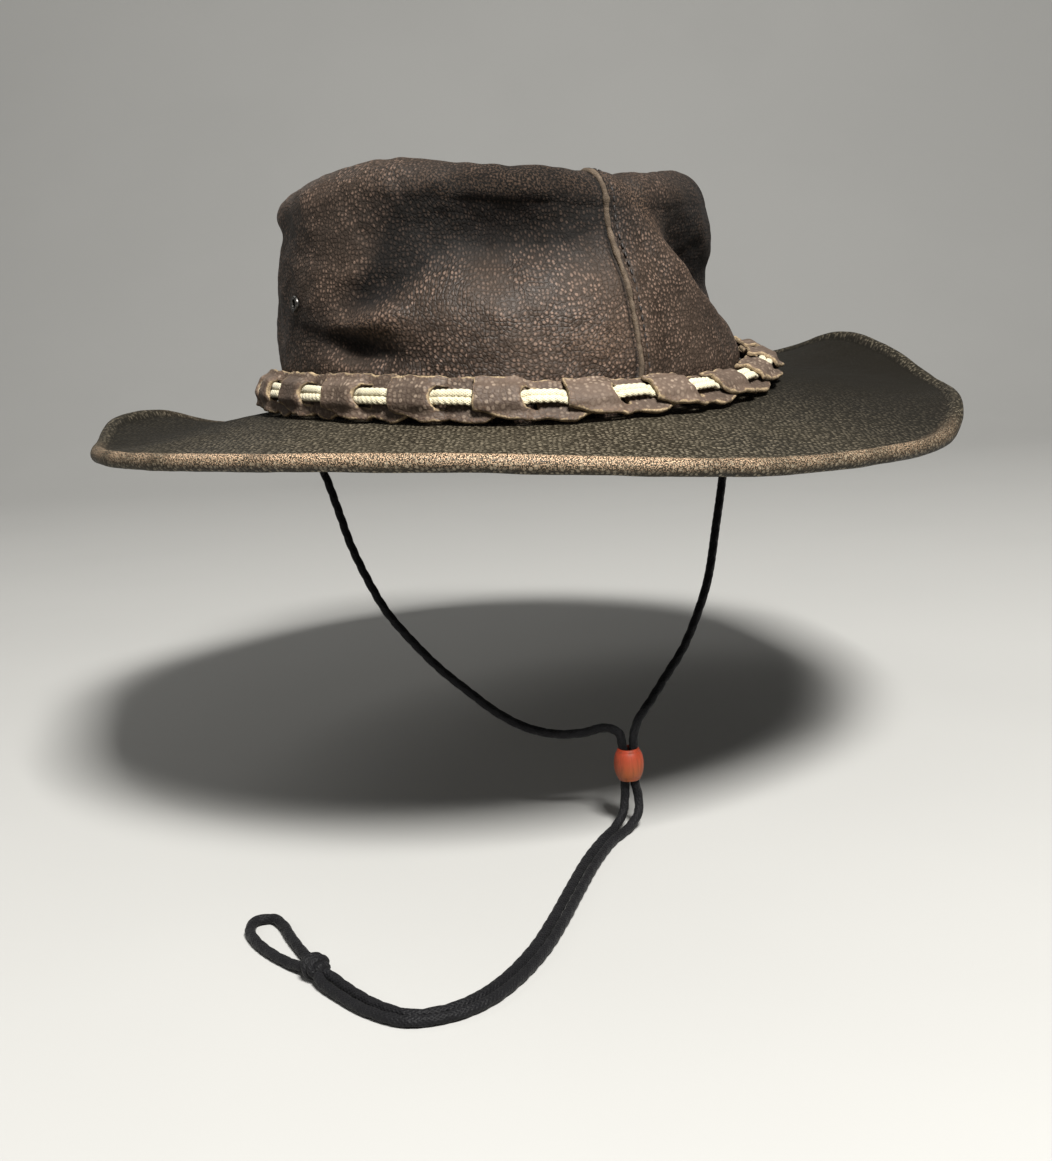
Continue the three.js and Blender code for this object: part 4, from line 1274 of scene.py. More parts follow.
def crown_places(outer, levels, columns, faces, points):
    """Places in the pattern. The wall's run round the crown and up it, in one sheet cut at the
    back seam; the top's are seen from above, in a sheet of its own inside the top seam."""
    rows, count = outer.shape[:2]
    degrees = np.append(columns, columns[0] + 360)
    round_way = np.tile((degrees - degrees[0]) * MM_PER_DEGREE, (rows, 1))
    rise = np.linalg.norm(np.diff(outer, axis=0), axis=-1).mean(1)
    up_way = np.concatenate([[0], np.cumsum(rise)])
    wall = np.stack([round_way, np.tile(up_way[:, None], (1, count + 1))], -1).reshape(-1, 2)
    sheet = grid_quads(rows, count + 1)
    on_top = np.repeat(levels[:-1] >= TIP_SEAM, count)
    flat = points[:, :2] + np.array([1000.0, 400.0])
    outside = np.where(on_top[:, None, None], flat[faces[0]], wall[sheet])
    rest = [flat[group] for group in faces[1:]]
    return [outside.reshape(-1, 2)] + [places.reshape(-1, 2) for places in rest]


# The cut edge's section beside and above the lap, in millimetres.
EDGE_STRIP = [
    (-0.66, -0.5), (-0.64, 0.3), (-0.5, 0.75), (-0.22, 1.05), (0.1, 1.22), (0.45, 1.28),
    (0.75, 1.22), (0.9, 1.0), (0.9, 0.4), (0.45, -0.5),
]
# The levels that the cut edge runs through, with its rings, and how far its width wavers.
EDGE_RUN = (0.03, 2.06, 240)
EDGE_WAVER = 0.16


def seam_line(rows, offset, lift, levels):
    """Points beside a seam and above the crown's skin, with the directions across and out."""
    azimuth = seam_azimuth(rows, levels)
    here = crown_point(azimuth, levels, 0.0)
    beside = crown_point(azimuth + 0.5, levels, 0.0)
    ahead = crown_point(seam_azimuth(rows, levels + 0.01), levels + 0.01, 0.0)
    along = unit(ahead - here)
    across = beside - here
    across = unit(across - along * (across * along).sum(-1, keepdims=True))
    out = np.cross(across, along)
    return here + across * offset[..., None] + out * lift[..., None], across, along, out


def build_seams():
    """The raw edges of the laps: a rounded ribbon carried up each seam, with a wavering width,
    and a row of stitches beside each."""
    profile = np.array(EDGE_STRIP, float)
    sides = len(profile)
    levels = np.linspace(*EDGE_RUN)
    for side, rows in (("front", FRONT_SEAM), ("back", BACK_SEAM)):
        still = np.zeros_like(levels)
        line, across, _, out = seam_line(rows, still, still, levels)
        waver = 1 + EDGE_WAVER * ripples(line, "seam_edge")
        points = (
            line[:, None]
            + across[:, None] * (profile[:, 0] * waver[:, None])[..., None]
            + out[:, None] * (profile[:, 1] * (0.5 + 0.5 * waver[:, None]))[..., None]
        )
        faces = [group[:, ::-1] for group in tube_faces(len(levels), sides)]
        strip = make_piece(f"lap_edge_{side}", points, faces, [material_of("raw_edge")])
        dress(strip, "raw_edge", *(["crown_seam_edge"] if side == "front" else []))
        build_stitches(f"seam_stitches_{side}", rows)


# A stitch: rings along it as shares of its half length, each with its radius, and that half
# length as a share of the spacing.
STITCH_PROFILE = [
    (-1.0, 0.08), (-0.8, 0.34), (-0.35, 0.42), (0.35, 0.42), (0.8, 0.34), (1.0, 0.08),
]
STITCH_SHARE = 0.33
# The levels that the stitches run through, how deep their line and they lie below the lap's
# top, in millimetres, and how flat they are.
STITCH_RUN = (0.05, 2.05, 800)
STITCH_SINK = {"line": 0.15, "stitch": 0.2}
STITCH_FLATNESS = 0.8


def build_stitches(name, rows):
    """Short stitches in a row: a capsule with rounded ends, repeated at even steps."""
    sizes = bpy.context.scene.hat_sizes
    levels = np.linspace(*STITCH_RUN)
    lap = sizes.lap_height / METRE

    def on_line(lift, at):
        """The stitch line at some levels, so far above the crown's skin."""
        beside = np.full_like(at, LAP["stitch_line"])
        return seam_line(rows, beside, np.full_like(at, lift), at)

    distance = covered(on_line(lap - STITCH_SINK["line"], levels)[0])
    spacing = sizes.stitch_spacing / METRE
    places = np.interp(np.arange(spacing, distance[-1], spacing), distance, levels)
    centre, across, along, out = on_line(lap - STITCH_SINK["stitch"], places)
    reach, girth = np.array(STITCH_PROFILE).T
    rise = reach * spacing * STITCH_SHARE
    rings, sides = len(STITCH_PROFILE), 8
    turn = np.arange(sides) * np.pi / 4
    points = (
        centre[:, None, None]
        + along[:, None, None] * rise[:, None, None]
        + across[:, None, None] * (girth[:, None] * np.cos(turn))[..., None]
        + out[:, None, None] * (girth[:, None] * np.sin(turn) * STITCH_FLATNESS)[..., None]
    )
    steps = (np.arange(len(places)) * rings * sides)[:, None, None]
    one = tube_faces(rings, sides)
    faces = [(group[None] + steps).reshape(-1, group.shape[1])[:, ::-1] for group in one]
    stitches = make_piece(name, points, faces, [material_of("stitch_thread")])
    dress(stitches, "raw_edge")


BRIM_GRID = {"columns": 720, "top": 62, "roll": 16, "under": 34}
# The brim's waves: the shares where they set in and where they calm down, by how much, the
# weights of the wide and fine ones, and how far the roll swells.
BRIM_WAVES = {
    "start": (0.02, 0.2), "calm": (0.75, 1), "calming": 0.6, "wide": 0.5, "fine": 0.2,
    "swell": 0.02,
}
# Wear on the brim, with a painted highlight on the roll's top: the share where wear sets in and
# its strength there, its strength on the side of the roll and the painted highlight added towards
# its top, how even it is, and what the parts under painted shade lose.
BRIM_WEAR_AND_HIGHLIGHT = {
    "start": 0.94, "near": 0.3, "roll": 0.45, "roll_highlight": 0.75, "even": 0.8, "uneven": 0.25,
    "shade_loss": 0.85,
}


def build_brim():
    """The brim: a closed section of top, rolled edge and underside carried once round."""
    grid = BRIM_GRID
    half = BRIM["thickness"] / 2
    radius = BRIM["roll_radius"]
    azimuth = np.arange(grid["columns"]) * 360 / grid["columns"]
    share = np.linspace(0, BRIM_SHARES["roll"], grid["top"])
    top = brim_point(*np.meshgrid(azimuth, share)) + UP * half
    under_share = np.linspace(BRIM_SHARES["roll"], 0, grid["under"])
    under = brim_point(*np.meshgrid(azimuth, under_share)) - UP * half
    centre = brim_point(azimuth, np.ones_like(azimuth))
    _, out = oval(BRIM["half_width"], BRIM["half_length"], azimuth)
    start = np.arcsin(half / radius)
    turn = np.linspace(np.pi - start, start - np.pi, grid["roll"] + 2)[1:-1, None, None]
    swell = 1 + BRIM_WAVES["swell"] * ripples(centre, "brim_roll")[None, :, None]
    roll = centre + (out * np.cos(turn) + UP * np.sin(turn)) * radius * swell
    section = np.concatenate([top, roll, under])
    rows = len(section)
    wrinkle = bpy.context.scene.hat_sizes.wrinkle_depth / METRE
    shares = np.concatenate([share, np.ones(grid["roll"]), under_share])[:, None]
    calm = BRIM_WAVES["calming"] * smoothstep(*BRIM_WAVES["calm"], shares)
    freedom = smoothstep(*BRIM_WAVES["start"], shares) * (1 - calm)
    flat = section * np.array([1.0, 1.0, 0.0])
    wave = ripples(flat, "brim_wide") * BRIM_WAVES["wide"]
    wave = wave + ripples(flat, "brim_fine") * BRIM_WAVES["fine"]
    section = section + UP * (wave * wrinkle * freedom)[..., None]
    quads = grid_quads(rows, len(azimuth), wrap_rows=True, wrap_columns=True)
    in_roll = np.zeros(rows)
    in_roll[grid["top"]:grid["top"] + grid["roll"]] = 1
    worn = BRIM_WEAR_AND_HIGHLIGHT
    # Wear near the roll and on it, with a painted highlight added towards the roll's top.
    near_roll = np.concatenate(
        [
            smoothstep(worn["start"], BRIM_SHARES["roll"], share) * worn["near"],
            np.clip(worn["roll"] + worn["roll_highlight"] * np.sin(turn.ravel()), 0, 1),
            np.zeros(grid["under"]),
        ]
    )
    rub = np.clip(worn["even"] + worn["uneven"] * ripples(centre, "brim_rub"), 0, 1)[None, :]
    # Painted shade by azimuth, which also weakens the wear and painted highlight on the roll.
    dark = around(BRIM_DARK_ROWS, ("azimuth", "dark"), "dark", azimuth)[None, :]
    wear = near_roll[:, None] * rub * np.clip(1 - worn["shade_loss"] * dark**2, 0, 1)
    uv = brim_places(section, quads, in_roll)
    # Painted shade, half as strong on the roll.
    painted_shade = dark * (1 - 0.5 * in_roll)[:, None]
    values = {"wear": wear, "shade_paint": painted_shade, "cut": np.zeros_like(wear)}
    brim = make_piece("brim_sheet", section, [quads], [material_of("brim_leather")], uv, values)
    dress(brim, "brim_leather", "brim")


def brim_places(section, quads, in_roll):
    """Places in the pattern: seen from above on the sheet, and along and round the roll."""
    rows, count = section.shape[:2]
    flat = section[..., :2].reshape(-1, 2)
    step = np.linalg.norm(np.diff(section, axis=0, append=section[:1]), axis=-1).mean(1)
    up_way = np.concatenate([[0], np.cumsum(step)])
    around_way = np.arange(count + 1) * np.pi * (BRIM["half_width"] + BRIM["half_length"]) / count
    curved = np.stack(np.meshgrid(around_way, up_way), -1).reshape(-1, 2) + 2000.0
    sheet = grid_quads(rows + 1, count + 1)
    rolled = np.repeat((in_roll + np.roll(in_roll, -1)) > 0, count)
    return [np.where(rolled[:, None, None], curved[sheet], flat[quads]).reshape(-1, 2)]


LINK_CELLS = {"tab": 14, "slot": 9, "tongue": 16, "low": 8, "middle": 12, "high": 6}
# How far a link's edges are rounded off, in from the cut, and how high its back lies.
LINK_ROUNDING = 0.55
LINK_BACK = 1.9


def eased(count):
    """Steps from 0 to 1 that are close together at both ends: half of 1 - cos."""
    return 0.5 - 0.5 * np.cos(np.linspace(0, np.pi, count + 1))


def blocks(counts, breaks):
    """Eased steps through each of a row of blocks, joined."""
    parts = []
    for count, low, high in zip(counts, breaks, breaks[1:]):
        parts.append(low + (high - low) * eased(count)[:-1])
    return np.concatenate(parts + [[breaks[-1]]])


def link_column(name, along):
    """A column of the link's rows, on a smooth curve through them."""
    table = np.array(LINK_ROWS, float)
    x, v = table[:, 0], table[:, LINK_COLUMNS.index(name)]
    slope = np.gradient(v, x)
    i = np.clip(np.searchsorted(x, along, side="right") - 1, 0, len(x) - 2)
    span = x[i + 1] - x[i]
    t = np.clip((along - x[i]) / span, 0, 1)
    return hermite(v[i], v[i + 1], slope[i], slope[i + 1], span, t)


def outline_distance(along, up, solid):
    """How far each grid point lies from the nearest edge of the leather, in the flat link."""
    padded = np.pad(solid, 1)
    touch = padded[:-1, :-1].astype(int) + padded[1:, :-1] + padded[:-1, 1:] + padded[1:, 1:]
    rim = (touch > 0) & (touch < 4)
    spots = np.stack([along[rim], up[rim]], -1)
    each = np.stack([along, up], -1)[..., None, :] - spots
    return np.sqrt((each**2).sum(-1)).min(-1)


def build_link(index):
    """A link: a flat strip with a bowed slot, its edges rounded off, bent from the layer over
    the lace down to the layer under it and wrapped round the crown."""
    draw = np.random.default_rng(100 + index)
    cells, slot = LINK_CELLS, LINK_SLOT
    breaks = [0, slot["left"], slot["right"], LINK["length"]]
    a = blocks((cells["tab"], cells["slot"], cells["tongue"]), breaks)
    b = blocks((cells["low"], cells["middle"], cells["high"]), [0, 1, 2, 3])
    along, level = np.meshgrid(a, b, indexing="ij")
    uneven = LINK_PLAY
    bottom = link_column("bottom", along) + uneven["edge"] * wobble(along, draw)
    bottom = bottom + draw.normal() * uneven["bottom"]
    top = link_column("top", along) + uneven["edge"] * wobble(along, draw)
    top = top + draw.normal() * uneven["top"]
    low = np.maximum(slot["bottom"], bottom + SLOT_SILL["below"])
    high = np.minimum(slot["top"], top - SLOT_SILL["above"])
    up = np.where(level <= 1, bottom + (low - bottom) * level, low + (high - low) * (level - 1))
    up = np.where(level >= 2, high + (top - high) * (level - 2), up)
    middle = np.clip(level, 1, 2) * 2 - 3
    near_slot = np.exp(-(((along - slot["left"]) / slot["bow_width"]) ** 2))
    along = along - slot["bow"] * (1 - middle**2) * near_slot
    along = along + uneven["tip"] * wobble(up + 50, draw) * (along < 2)
    solid = np.ones((len(a) - 1, len(b) - 1), bool)
    first, after = cells["tab"], cells["tab"] + cells["slot"]
    solid[first:after, cells["low"]:cells["low"] + cells["middle"]] = False
    distance = outline_distance(along, up, solid)
    short = np.clip(LINK_ROUNDING - distance, 0, LINK_ROUNDING)
    drop = LINK_ROUNDING - np.sqrt(np.maximum(LINK_ROUNDING**2 - short**2, 0))
    arch = 1 - smoothstep(*LINK_ARCH, np.abs(up - LACE_MIDDLE))
    over_lace = LINK_BACK + (LINK["tab_layer"] - LINK_BACK) * arch
    layer = link_column("layer", along) * over_lace
    play = draw.normal(size=3)
    curl = uneven["curl"] * smoothstep(3.5, 0, along) * (0.6 + 0.4 * play[0])
    layer = layer + curl + uneven["tilt"] * play[1] * smoothstep(20, 12, along)
    start = (index + BAND["start"]) * LINK_PITCH
    apart = np.stack([along, up, up * 0 + index * 40], -1)
    rough = uneven["skin"] * ripples(apart, "link")
    front = band_point(start + along, up, layer + LINK["thickness"] - drop + rough)
    back = band_point(start + along, up, layer + drop)
    ids = np.arange(front[..., 0].size).reshape(front.shape[:2])
    size = ids.size
    corners = np.stack([ids[:-1, :-1], ids[1:, :-1], ids[1:, 1:], ids[:-1, 1:]], -1)
    quads = [corners[solid], corners[solid][:, ::-1] + size]
    open_cells = ~np.pad(solid, 1)
    beside = (
        open_cells[1:-1, :-2], open_cells[2:, 1:-1], open_cells[1:-1, 2:], open_cells[:-2, 1:-1]
    )
    for k, hidden in enumerate(beside):
        edge = corners[solid & hidden]
        start_id, end_id = edge[:, k], edge[:, (k + 1) % 4]
        quads.append(np.stack([start_id, start_id + size, end_id + size, end_id], -1))
    faces = np.concatenate(quads)
    points = np.concatenate([front.reshape(-1, 3), back.reshape(-1, 3)])
    flat = np.stack([along + index * 60, up], -1).reshape(-1, 2)
    flat = np.concatenate([flat, flat + [0, 30]])
    worn = LINK_WEAR_AND_SHADE
    cut = np.concatenate([1 - np.clip(distance / worn["cut"], 0, 1)] * 2)
    rubbed = worn["rub"] * (1 - smoothstep(*worn["rub_span"], distance))
    wear = np.concatenate([rubbed] * 2)
    # Painted shade on the tongue past the slot, which lies recessed under the lace and the next tab.
    shade_paint = np.concatenate([smoothstep(*worn["shade_span"], along) * worn["dark"]] * 2)
    used, numbers = np.unique(faces, return_inverse=True)
    faces = numbers.reshape(faces.shape)
    uv = [flat[used][faces].reshape(-1, 2)]
    values = {"wear": wear.ravel()[used], "cut": cut.ravel()[used], "shade_paint": shade_paint.ravel()[used]}
    name = f"link_leather_{index + 1:02d}"
    link = make_piece(name, points[used], [faces], [material_of("link_leather")], uv, values)
    link.data.set_sharp_from_angle(angle=np.radians(50))
    dress(link, "link_leather", f"band_link_{index + 1:02d}")


def wobble(value, draw):
    """A seeded uneven line: three sine waves with random phases."""
    phase = draw.random(3) * 2 * np.pi
    total = 0
    for k, length in enumerate((11.0, 5.3, 2.6)):
        total = total + np.sin(2 * np.pi * value / length + phase[k]) / (k + 1)
    return total


LACE_GRID = {"steps": 3000, "sides": 16}


def build_laces():
    """The lace: two closed strands of an oval section, lightly twisted, that bow outwards in
    each window between two tabs."""
    sizes = bpy.context.scene.hat_sizes
    steps, sides = LACE_GRID["steps"], LACE_GRID["sides"]
    length = np.arange(steps) * BAND_ROUND / steps
    turn = np.arange(sides) * 2 * np.pi / sides
    twists = round(BAND_ROUND / (sizes.lace_pitch / METRE))
    phase = np.mod(length / LINK_PITCH - BAND["start"], 1)
    opening, opened, closing, closed = LACE_WINDOW
    window = smoothstep(opening, opened, phase) * (1 - smoothstep(closing, closed, phase))
    drifts = round(BAND_ROUND / LACE_PLAY["drift_length"])
    for name, height, wind in (("lower", LACE["lower"], 1), ("upper", LACE["upper"], -1)):
        spin = wind * 2 * np.pi * twists * length / BAND_ROUND
        size = 1 + LACE_PLAY["twist"] * np.cos(2 * (turn[None, :] - spin[:, None]))
        sway = 2 * np.pi * length * drifts / BAND_ROUND + height
        drift = LACE_PLAY["drift"] * np.sin(sway)
        layer = LACE["layer"] + LACE["bow"] * window
        points = band_point(
            np.repeat(length[:, None], sides, 1),
            (height + drift)[:, None] + size * np.cos(turn) * LACE["width"] / 2,
            layer[:, None] + size * np.sin(turn) * LACE["depth"] / 2,
        )
        quads = grid_quads(steps, sides, wrap_rows=True, wrap_columns=True)
        sheet = grid_quads(steps + 1, sides + 1)
        long_way = np.append(length, BAND_ROUND)
        round_way = np.arange(sides + 1) * np.pi * LACE["width"] / sides
        flat = np.stack(np.meshgrid(long_way, round_way, indexing="ij"), -1).reshape(-1, 2)
        uv = [flat[sheet].reshape(-1, 2)]
        lace = make_piece(f"lace_twist_{name}", points, [quads], [material_of("lace_cotton")], uv)
        dress(lace, "lace_cotton", f"lace_{name}")


def build_trim():
    """The vent rings on the crown and the small tabs inside it that hold the cord's ends."""
    for side, azimuth in EYELET_AZIMUTHS.items():
        build_eyelet(side, azimuth)
        build_tab(side, -1 if side == "right" else 1)


def build_eyelet(side, azimuth):
    """A rolled metal ring turned round the wall's normal, with a near-black disc in it as painted
    shade.
    """
    level = EYELET["share"]
    azimuths = np.array([azimuth, azimuth + 1.0, azimuth])
    here, _ = crown_wall(azimuths, np.array([level, level, level + 0.02]))
    normal = unit(np.cross(here[1] - here[0], here[2] - here[0]))
    side_way = unit(np.cross(UP, normal))
    axes = (side_way, np.cross(normal, side_way), normal)
    outer, bore, height = EYELET["outer"], EYELET["bore"], EYELET["height"]
    arc = np.linspace(0, np.pi, 12)
    middle, half = (outer + bore) / 2, (outer - bore) / 2
    foot, hollow = 0.25, -1.2
    ring = [(middle + half * np.cos(a), foot + (height - foot) * np.sin(a)) for a in arc]
    # The near-black disc below the ring is painted shade for the hole.
    profile = ring + [(bore, hollow), (0.01, hollow)]
    base = here[0] + normal * 3 * GAP
    columns = 40
    points = lathe(profile, columns, base, axes)
    quads = grid_quads(len(profile), columns, wrap_columns=True)
    kinds = np.repeat([0] * (len(ring) - 1) + [1, 1], columns)
    materials = [material_of("eyelet_metal"), material_of("painted_hole_shade")]
    piece = make_piece(f"vent_ring_{side}", points, [quads], materials, None, None, kinds)
    dress(piece, "eyelet_metal", f"vent_eyelet_{side}")


def build_tab(side, sign):
    """A small leather tab: a rounded slab, each of its points pulled towards a superellipse."""
    half = np.array([CORD_TAB["thickness"], CORD_TAB["width"], CORD_TAB["height"]]) / 2
    turn = np.linspace(0, 2 * np.pi, 49)[:-1]
    rise = np.linspace(-np.pi / 2, np.pi / 2, 17)[1:-1]
    plan_power, rise_power = 0.35, 0.5
    c, s = np.cos(turn), np.sin(turn)
    plan = np.stack([c, s], -1)
    plan = np.sign(plan) * np.abs(plan) ** plan_power
    reach, climb = np.cos(rise) ** rise_power, np.sin(rise)
    climb = np.sign(climb) * np.abs(climb) ** rise_power
    y = plan[None, :, 0] * reach[:, None] * half[1]
    z = plan[None, :, 1] * reach[:, None] * half[2]
    x = np.broadcast_to(climb[:, None] * half[0], y.shape)
    points = np.stack([sign * CORD_TAB["x"] + x, y, CORD_TAB["z"] + z], -1)
    faces = tube_faces(len(rise), len(turn))
    uv = [points.reshape(-1, 3)[:, 1:][group].reshape(-1, 2) for group in faces]
    values = {key: np.zeros(points.shape[:2]) for key in ("wear", "shade_paint", "cut")}
    leather = [material_of("crown_leather")]
    tab = make_piece(f"cord_anchor_{side}", points, faces, leather, uv, values)
    dress(tab, "crown_leather", f"cord_tab_{side}")


# The sweep behind the hat, in millimetres, and the lights' tint.
STAGE = {"front": -4000.0, "back": 900.0, "radius": 900.0, "height": 5000.0, "half_width": 5000.0}
LIGHT_TINT = (1.0, 0.98, 0.94)


def build_stage():
    """A pale sweep of floor and wall, and soft lights."""
    stage = bpy.context.scene.hat_stage
    turn = np.linspace(0, np.pi / 2, 24)
    sweep = STAGE
    radius, back = sweep["radius"], sweep["back"]
    run = np.concatenate([[sweep["front"]], back + radius * np.sin(turn), [back + radius]])
    rise = np.concatenate([[0.0], radius * (1 - np.cos(turn)), [sweep["height"]]]) + FLOOR_Z
    across = np.array([-sweep["half_width"], sweep["half_width"]])
    points = np.stack(
        [
            np.repeat(across[None], len(run), 0),
            np.repeat(run[:, None], 2, 1),
            np.repeat(rise[:, None], 2, 1),
        ],
        -1,
    )
    material, tree, shader = new_material("pale_floor")
    _, space = coordinates(tree)
    clouds = grouped(tree, "soft_blotches", {"Vector": space, "Patches Per Metre": 2.0})["Mask"]
    base = colour_of(bpy.context.scene.hat_colours, "floor")
    tree.links.new(mixed(tree, clouds, base, shade(base, 0.97)), shader.inputs["Base Color"])
    shader.inputs["Roughness"].default_value = 0.9
    floor = make_piece("floor", points, [grid_quads(len(run), 2)], [material])
    lights = [
        ("key", (0.35, -1.05, 1.3), 0.4, stage.key_power),
        ("fill", (-1.2, -0.6, 0.6), 0.8, stage.fill_power),
        ("top", (-0.7, 0.5, 1.0), 0.6, stage.top_power),
    ]
    for name, spot, size, power in lights:
        data = bpy.data.lights.new(name, "AREA")
        data.size = size
        data.energy = power
        data.color = LIGHT_TINT
        lamp = bpy.data.objects.new(name, data)
        lamp.location = spot
        lamp.rotation_euler = (-Vector(spot)).to_track_quat("-Z", "Y").to_euler()
        bpy.context.scene.collection.objects.link(lamp)
    world = bpy.data.worlds.new("soft_room")
    world.use_nodes = True
    sky = world.node_tree.nodes["Background"]
    sky.inputs["Color"].default_value = (1.0, 1.0, 1.0, 1.0)
    sky.inputs["Strength"].default_value = stage.room_light
    bpy.context.scene.world = world
    bpy.context.scene.view_settings.view_transform = "Standard"


# The add-on


def colour_property(name, description, default):
    """A colour that the user can change."""
    return FloatVectorProperty(
        name=name, description=description, default=default, size=3, min=0, max=1, subtype="COLOR"
    )


def length_property(name, description, default):
    """A size in metres that the user can change."""
    return FloatProperty(
        name=name, description=description, default=default, min=0, precision=5,
        subtype="DISTANCE", unit="LENGTH",
    )


def angle_property(name, description, degrees):
    """An angle that the user can change, given in degrees."""
    return FloatProperty(
        name=name, description=description, default=np.radians(degrees), subtype="ANGLE"
    )


def power_property(name, description, default):
    """A light's power that the user can change."""
    return FloatProperty(
        name=name, description=description, default=default, min=0, subtype="POWER"
    )


class HatColours(bpy.types.PropertyGroup):
    """Colours of the hat and its floor."""

    crown: colour_property("Crown", "Ground colour of the crown's leather", (0.037, 0.024, 0.016))
    grain_tops: colour_property("Grain tops", "Pale tops of the leather's grain", (0.27, 0.18, 0.135))
    # Rubbed also colours the crown's painted highlights.
    rubbed: colour_property("Rubbed", "Leather where it is rubbed", (0.16, 0.1, 0.065))
    brim: colour_property("Brim", "Ground colour of the brim's leather", (0.028, 0.023, 0.014))
    brim_tops: colour_property("Brim grain", "Pale tops of the brim's grain", (0.27, 0.23, 0.165))
    # Also colours the painted highlight on the roll's top.
    roll_wear_and_highlight: colour_property("Brim edge", "Rubbed colour of the rolled edge", (0.64, 0.44, 0.285))
    link_tops: colour_property("Link grain", "Pale tops of the links' grain", (0.37, 0.29, 0.22))
    links: colour_property("Links", "Ground colour of the band's links", (0.12, 0.085, 0.064))
    cut_edge: colour_property("Cut edge", "Raw cut edges of the band's leather", (0.4, 0.3, 0.185))
    seam_edge: colour_property("Seam edge", "Cut edge of the crown's laps", (0.12, 0.085, 0.055))
    flesh: colour_property("Flesh side", "Brushed inner side of the crown", (0.06, 0.042, 0.03))
    lace: colour_property("Lace", "Cream lace", (0.7, 0.64, 0.45))
    cord: colour_property("Cord", "Black braided cord", (0.006, 0.006, 0.007))
    thread: colour_property("Thread", "Thread of the crown's seams", (0.012, 0.009, 0.008))
    bead: colour_property("Bead", "Lower part of the wooden bead", (0.26, 0.062, 0.01))
    bead_top: colour_property("Bead top", "Upper part of the wooden bead", (0.4, 0.044, 0.013))
    eyelet: colour_property("Eyelet", "Metal of the vent rings", (0.1, 0.095, 0.09))
    floor: colour_property("Floor", "Pale floor", (0.42, 0.42, 0.41))


class HatSizes(bpy.types.PropertyGroup):
    """Sizes of the hat's fine detail."""

    cord_diameter: length_property("Cord diameter", "Diameter of the chin cord", 0.003)
    braid_pitch: length_property("Braid pitch", "Length of one turn of the braid", 0.0065)
    lace_pitch: length_property("Lace twist", "Length of one turn of the lace's twist", 0.0042)
    lap_height: length_property("Lap height", "Height of the lapped seam's upper leather", 0.0013)
    stitch_spacing: length_property("Stitch spacing", "Distance between stitches", 0.0032)
    wrinkle_depth: length_property("Wrinkle depth", "Depth of the leather's soft wrinkles", 0.0003)


class HatStage(bpy.types.PropertyGroup):
    """Camera and light."""

    camera_place: FloatVectorProperty(
        name="Camera place", description="Where the camera stands",
        default=(0.0006, -0.612, 0.048), subtype="TRANSLATION",
    )
    camera_pitch: angle_property("Camera pitch", "How far the camera looks down", 11.47)
    camera_roll: angle_property("Camera roll", "How far the camera is rolled", 3.5)
    lens: FloatProperty(
        name="Lens", description="Focal length in millimetres", default=47.44, min=1
    )
    key_power: power_property("Key", "Power of the key light", 68)
    fill_power: power_property("Fill", "Power of the fill light", 2)
    top_power: power_property("Top", "Power of the top light", 2.5)
    room_light: FloatProperty(
        name="Room", description="Strength of the even room light", default=0.08, min=0
    )


class HatOperator:
    """What the hat's operators share: they run their builder and report that they finished."""

    bl_options = {"REGISTER", "UNDO"}

    def execute(self, context):
        self.build()
        return {"FINISHED"}


class OBJECT_OT_hat_camera(HatOperator, bpy.types.Operator):
    """Place the camera"""

    bl_idname = "object.hat_camera"
    bl_label = "Camera"

    def build(self):
        build_camera()


class OBJECT_OT_hat_cords(HatOperator, bpy.types.Operator):
    """Make the chin cord with its bead and knot"""

    bl_idname = "object.hat_cords"
    bl_label = "Chin cord, bead and knot"

    def build(self):
        build_cords()


class OBJECT_OT_hat_crown(HatOperator, bpy.types.Operator):
    """Make the crown"""

    bl_idname = "object.hat_crown"
    bl_label = "Crown"

    def build(self):
        build_crown()


class OBJECT_OT_hat_seams(HatOperator, bpy.types.Operator):
    """Make the crown's lapped seams and stitches"""

    bl_idname = "object.hat_seams"
    bl_label = "Crown seams"

    def build(self):
        build_seams()


class OBJECT_OT_hat_brim(HatOperator, bpy.types.Operator):
    """Make the brim"""

    bl_idname = "object.hat_brim"
    bl_label = "Brim"

    def build(self):
        build_brim()


class OBJECT_OT_hat_links(HatOperator, bpy.types.Operator):
    """Make the band's links"""

    bl_idname = "object.hat_links"
    bl_label = "Band links"

    def build(self):
        for index in range(BAND["links"]):
            build_link(index)


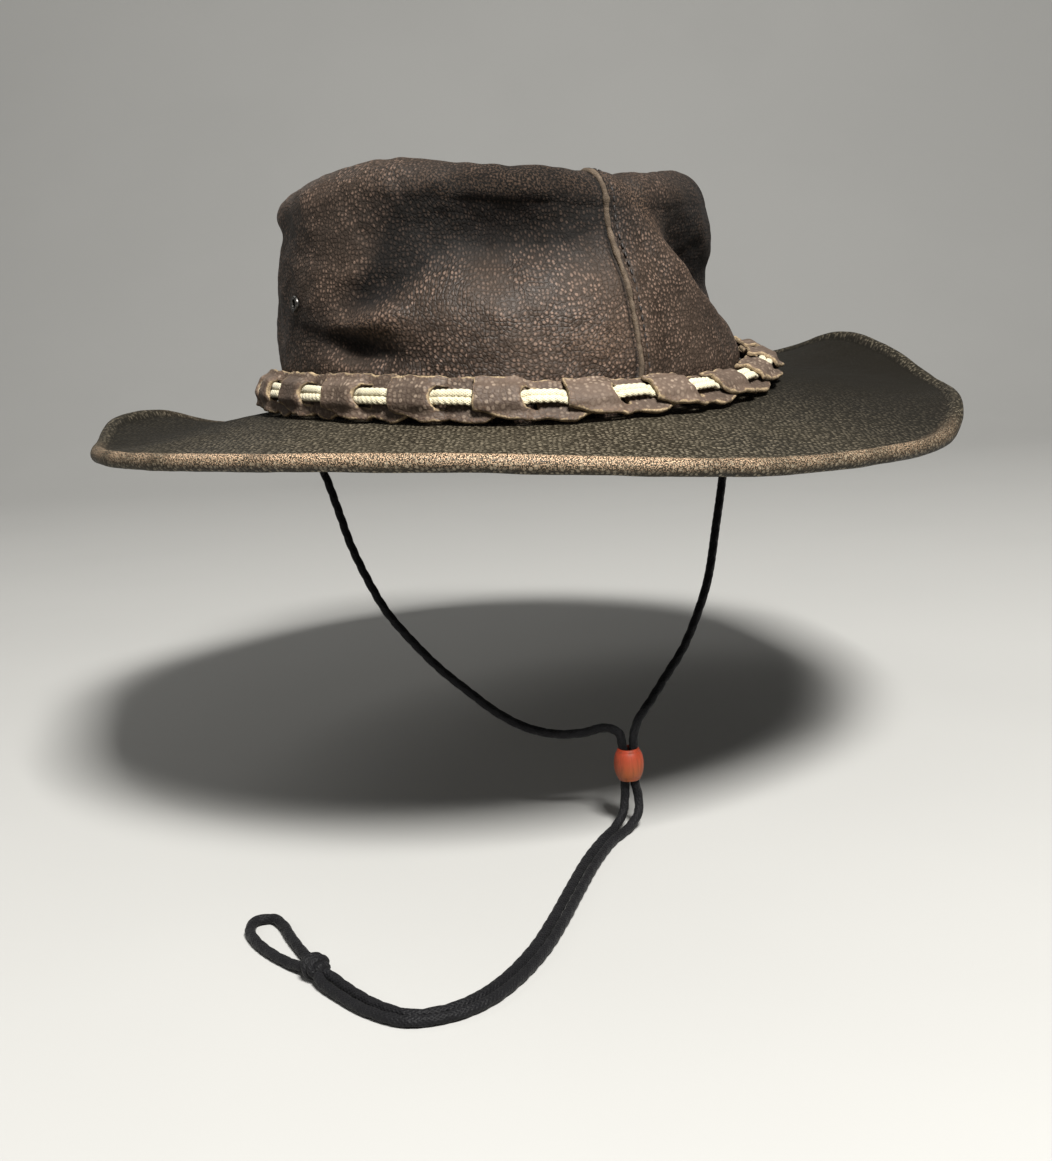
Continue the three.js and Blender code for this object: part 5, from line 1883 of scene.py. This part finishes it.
class OBJECT_OT_hat_laces(HatOperator, bpy.types.Operator):
    """Make the band's lace"""

    bl_idname = "object.hat_laces"
    bl_label = "Lace"

    def build(self):
        build_laces()


class OBJECT_OT_hat_trim(HatOperator, bpy.types.Operator):
    """Make the vent rings and cord tabs"""

    bl_idname = "object.hat_trim"
    bl_label = "Vent rings and tabs"

    def build(self):
        build_trim()


class OBJECT_OT_hat_stage(HatOperator, bpy.types.Operator):
    """Make the floor and lights"""

    bl_idname = "object.hat_stage"
    bl_label = "Floor and lights"

    def build(self):
        build_stage()


class VIEW3D_PT_hat(bpy.types.Panel):
    """Lists the hat's pieces in the sidebar."""

    bl_label = "Leather hat"
    bl_space_type = "VIEW_3D"
    bl_region_type = "UI"
    bl_category = "Hat"

    def draw(self, context):
        for operator in OPERATORS:
            self.layout.operator(operator.bl_idname)
        for group in SETTINGS:
            settings = getattr(context.scene, group)
            for key in settings.__annotations__:
                self.layout.prop(settings, key)


OPERATORS = (
    OBJECT_OT_hat_camera,
    OBJECT_OT_hat_cords,
    OBJECT_OT_hat_crown,
    OBJECT_OT_hat_seams,
    OBJECT_OT_hat_brim,
    OBJECT_OT_hat_links,
    OBJECT_OT_hat_laces,
    OBJECT_OT_hat_trim,
    OBJECT_OT_hat_stage,
)
SETTINGS = {"hat_colours": HatColours, "hat_sizes": HatSizes, "hat_stage": HatStage}


def register():
    """Registers the classes and hangs the settings on the scene."""
    for cls in (*SETTINGS.values(), *OPERATORS, VIEW3D_PT_hat):
        bpy.utils.register_class(cls)
    for name, group in SETTINGS.items():
        setattr(bpy.types.Scene, name, PointerProperty(type=group))


def unregister():
    """Takes the settings off the scene and unregisters the classes."""
    for name in SETTINGS:
        delattr(bpy.types.Scene, name)
    for cls in reversed((*SETTINGS.values(), *OPERATORS, VIEW3D_PT_hat)):
        bpy.utils.unregister_class(cls)


def main():
    """Makes every piece in order."""
    register()
    for operator in OPERATORS:
        getattr(bpy.ops.object, operator.bl_idname.split(".")[1])()


if __name__ == "__main__":
    main()
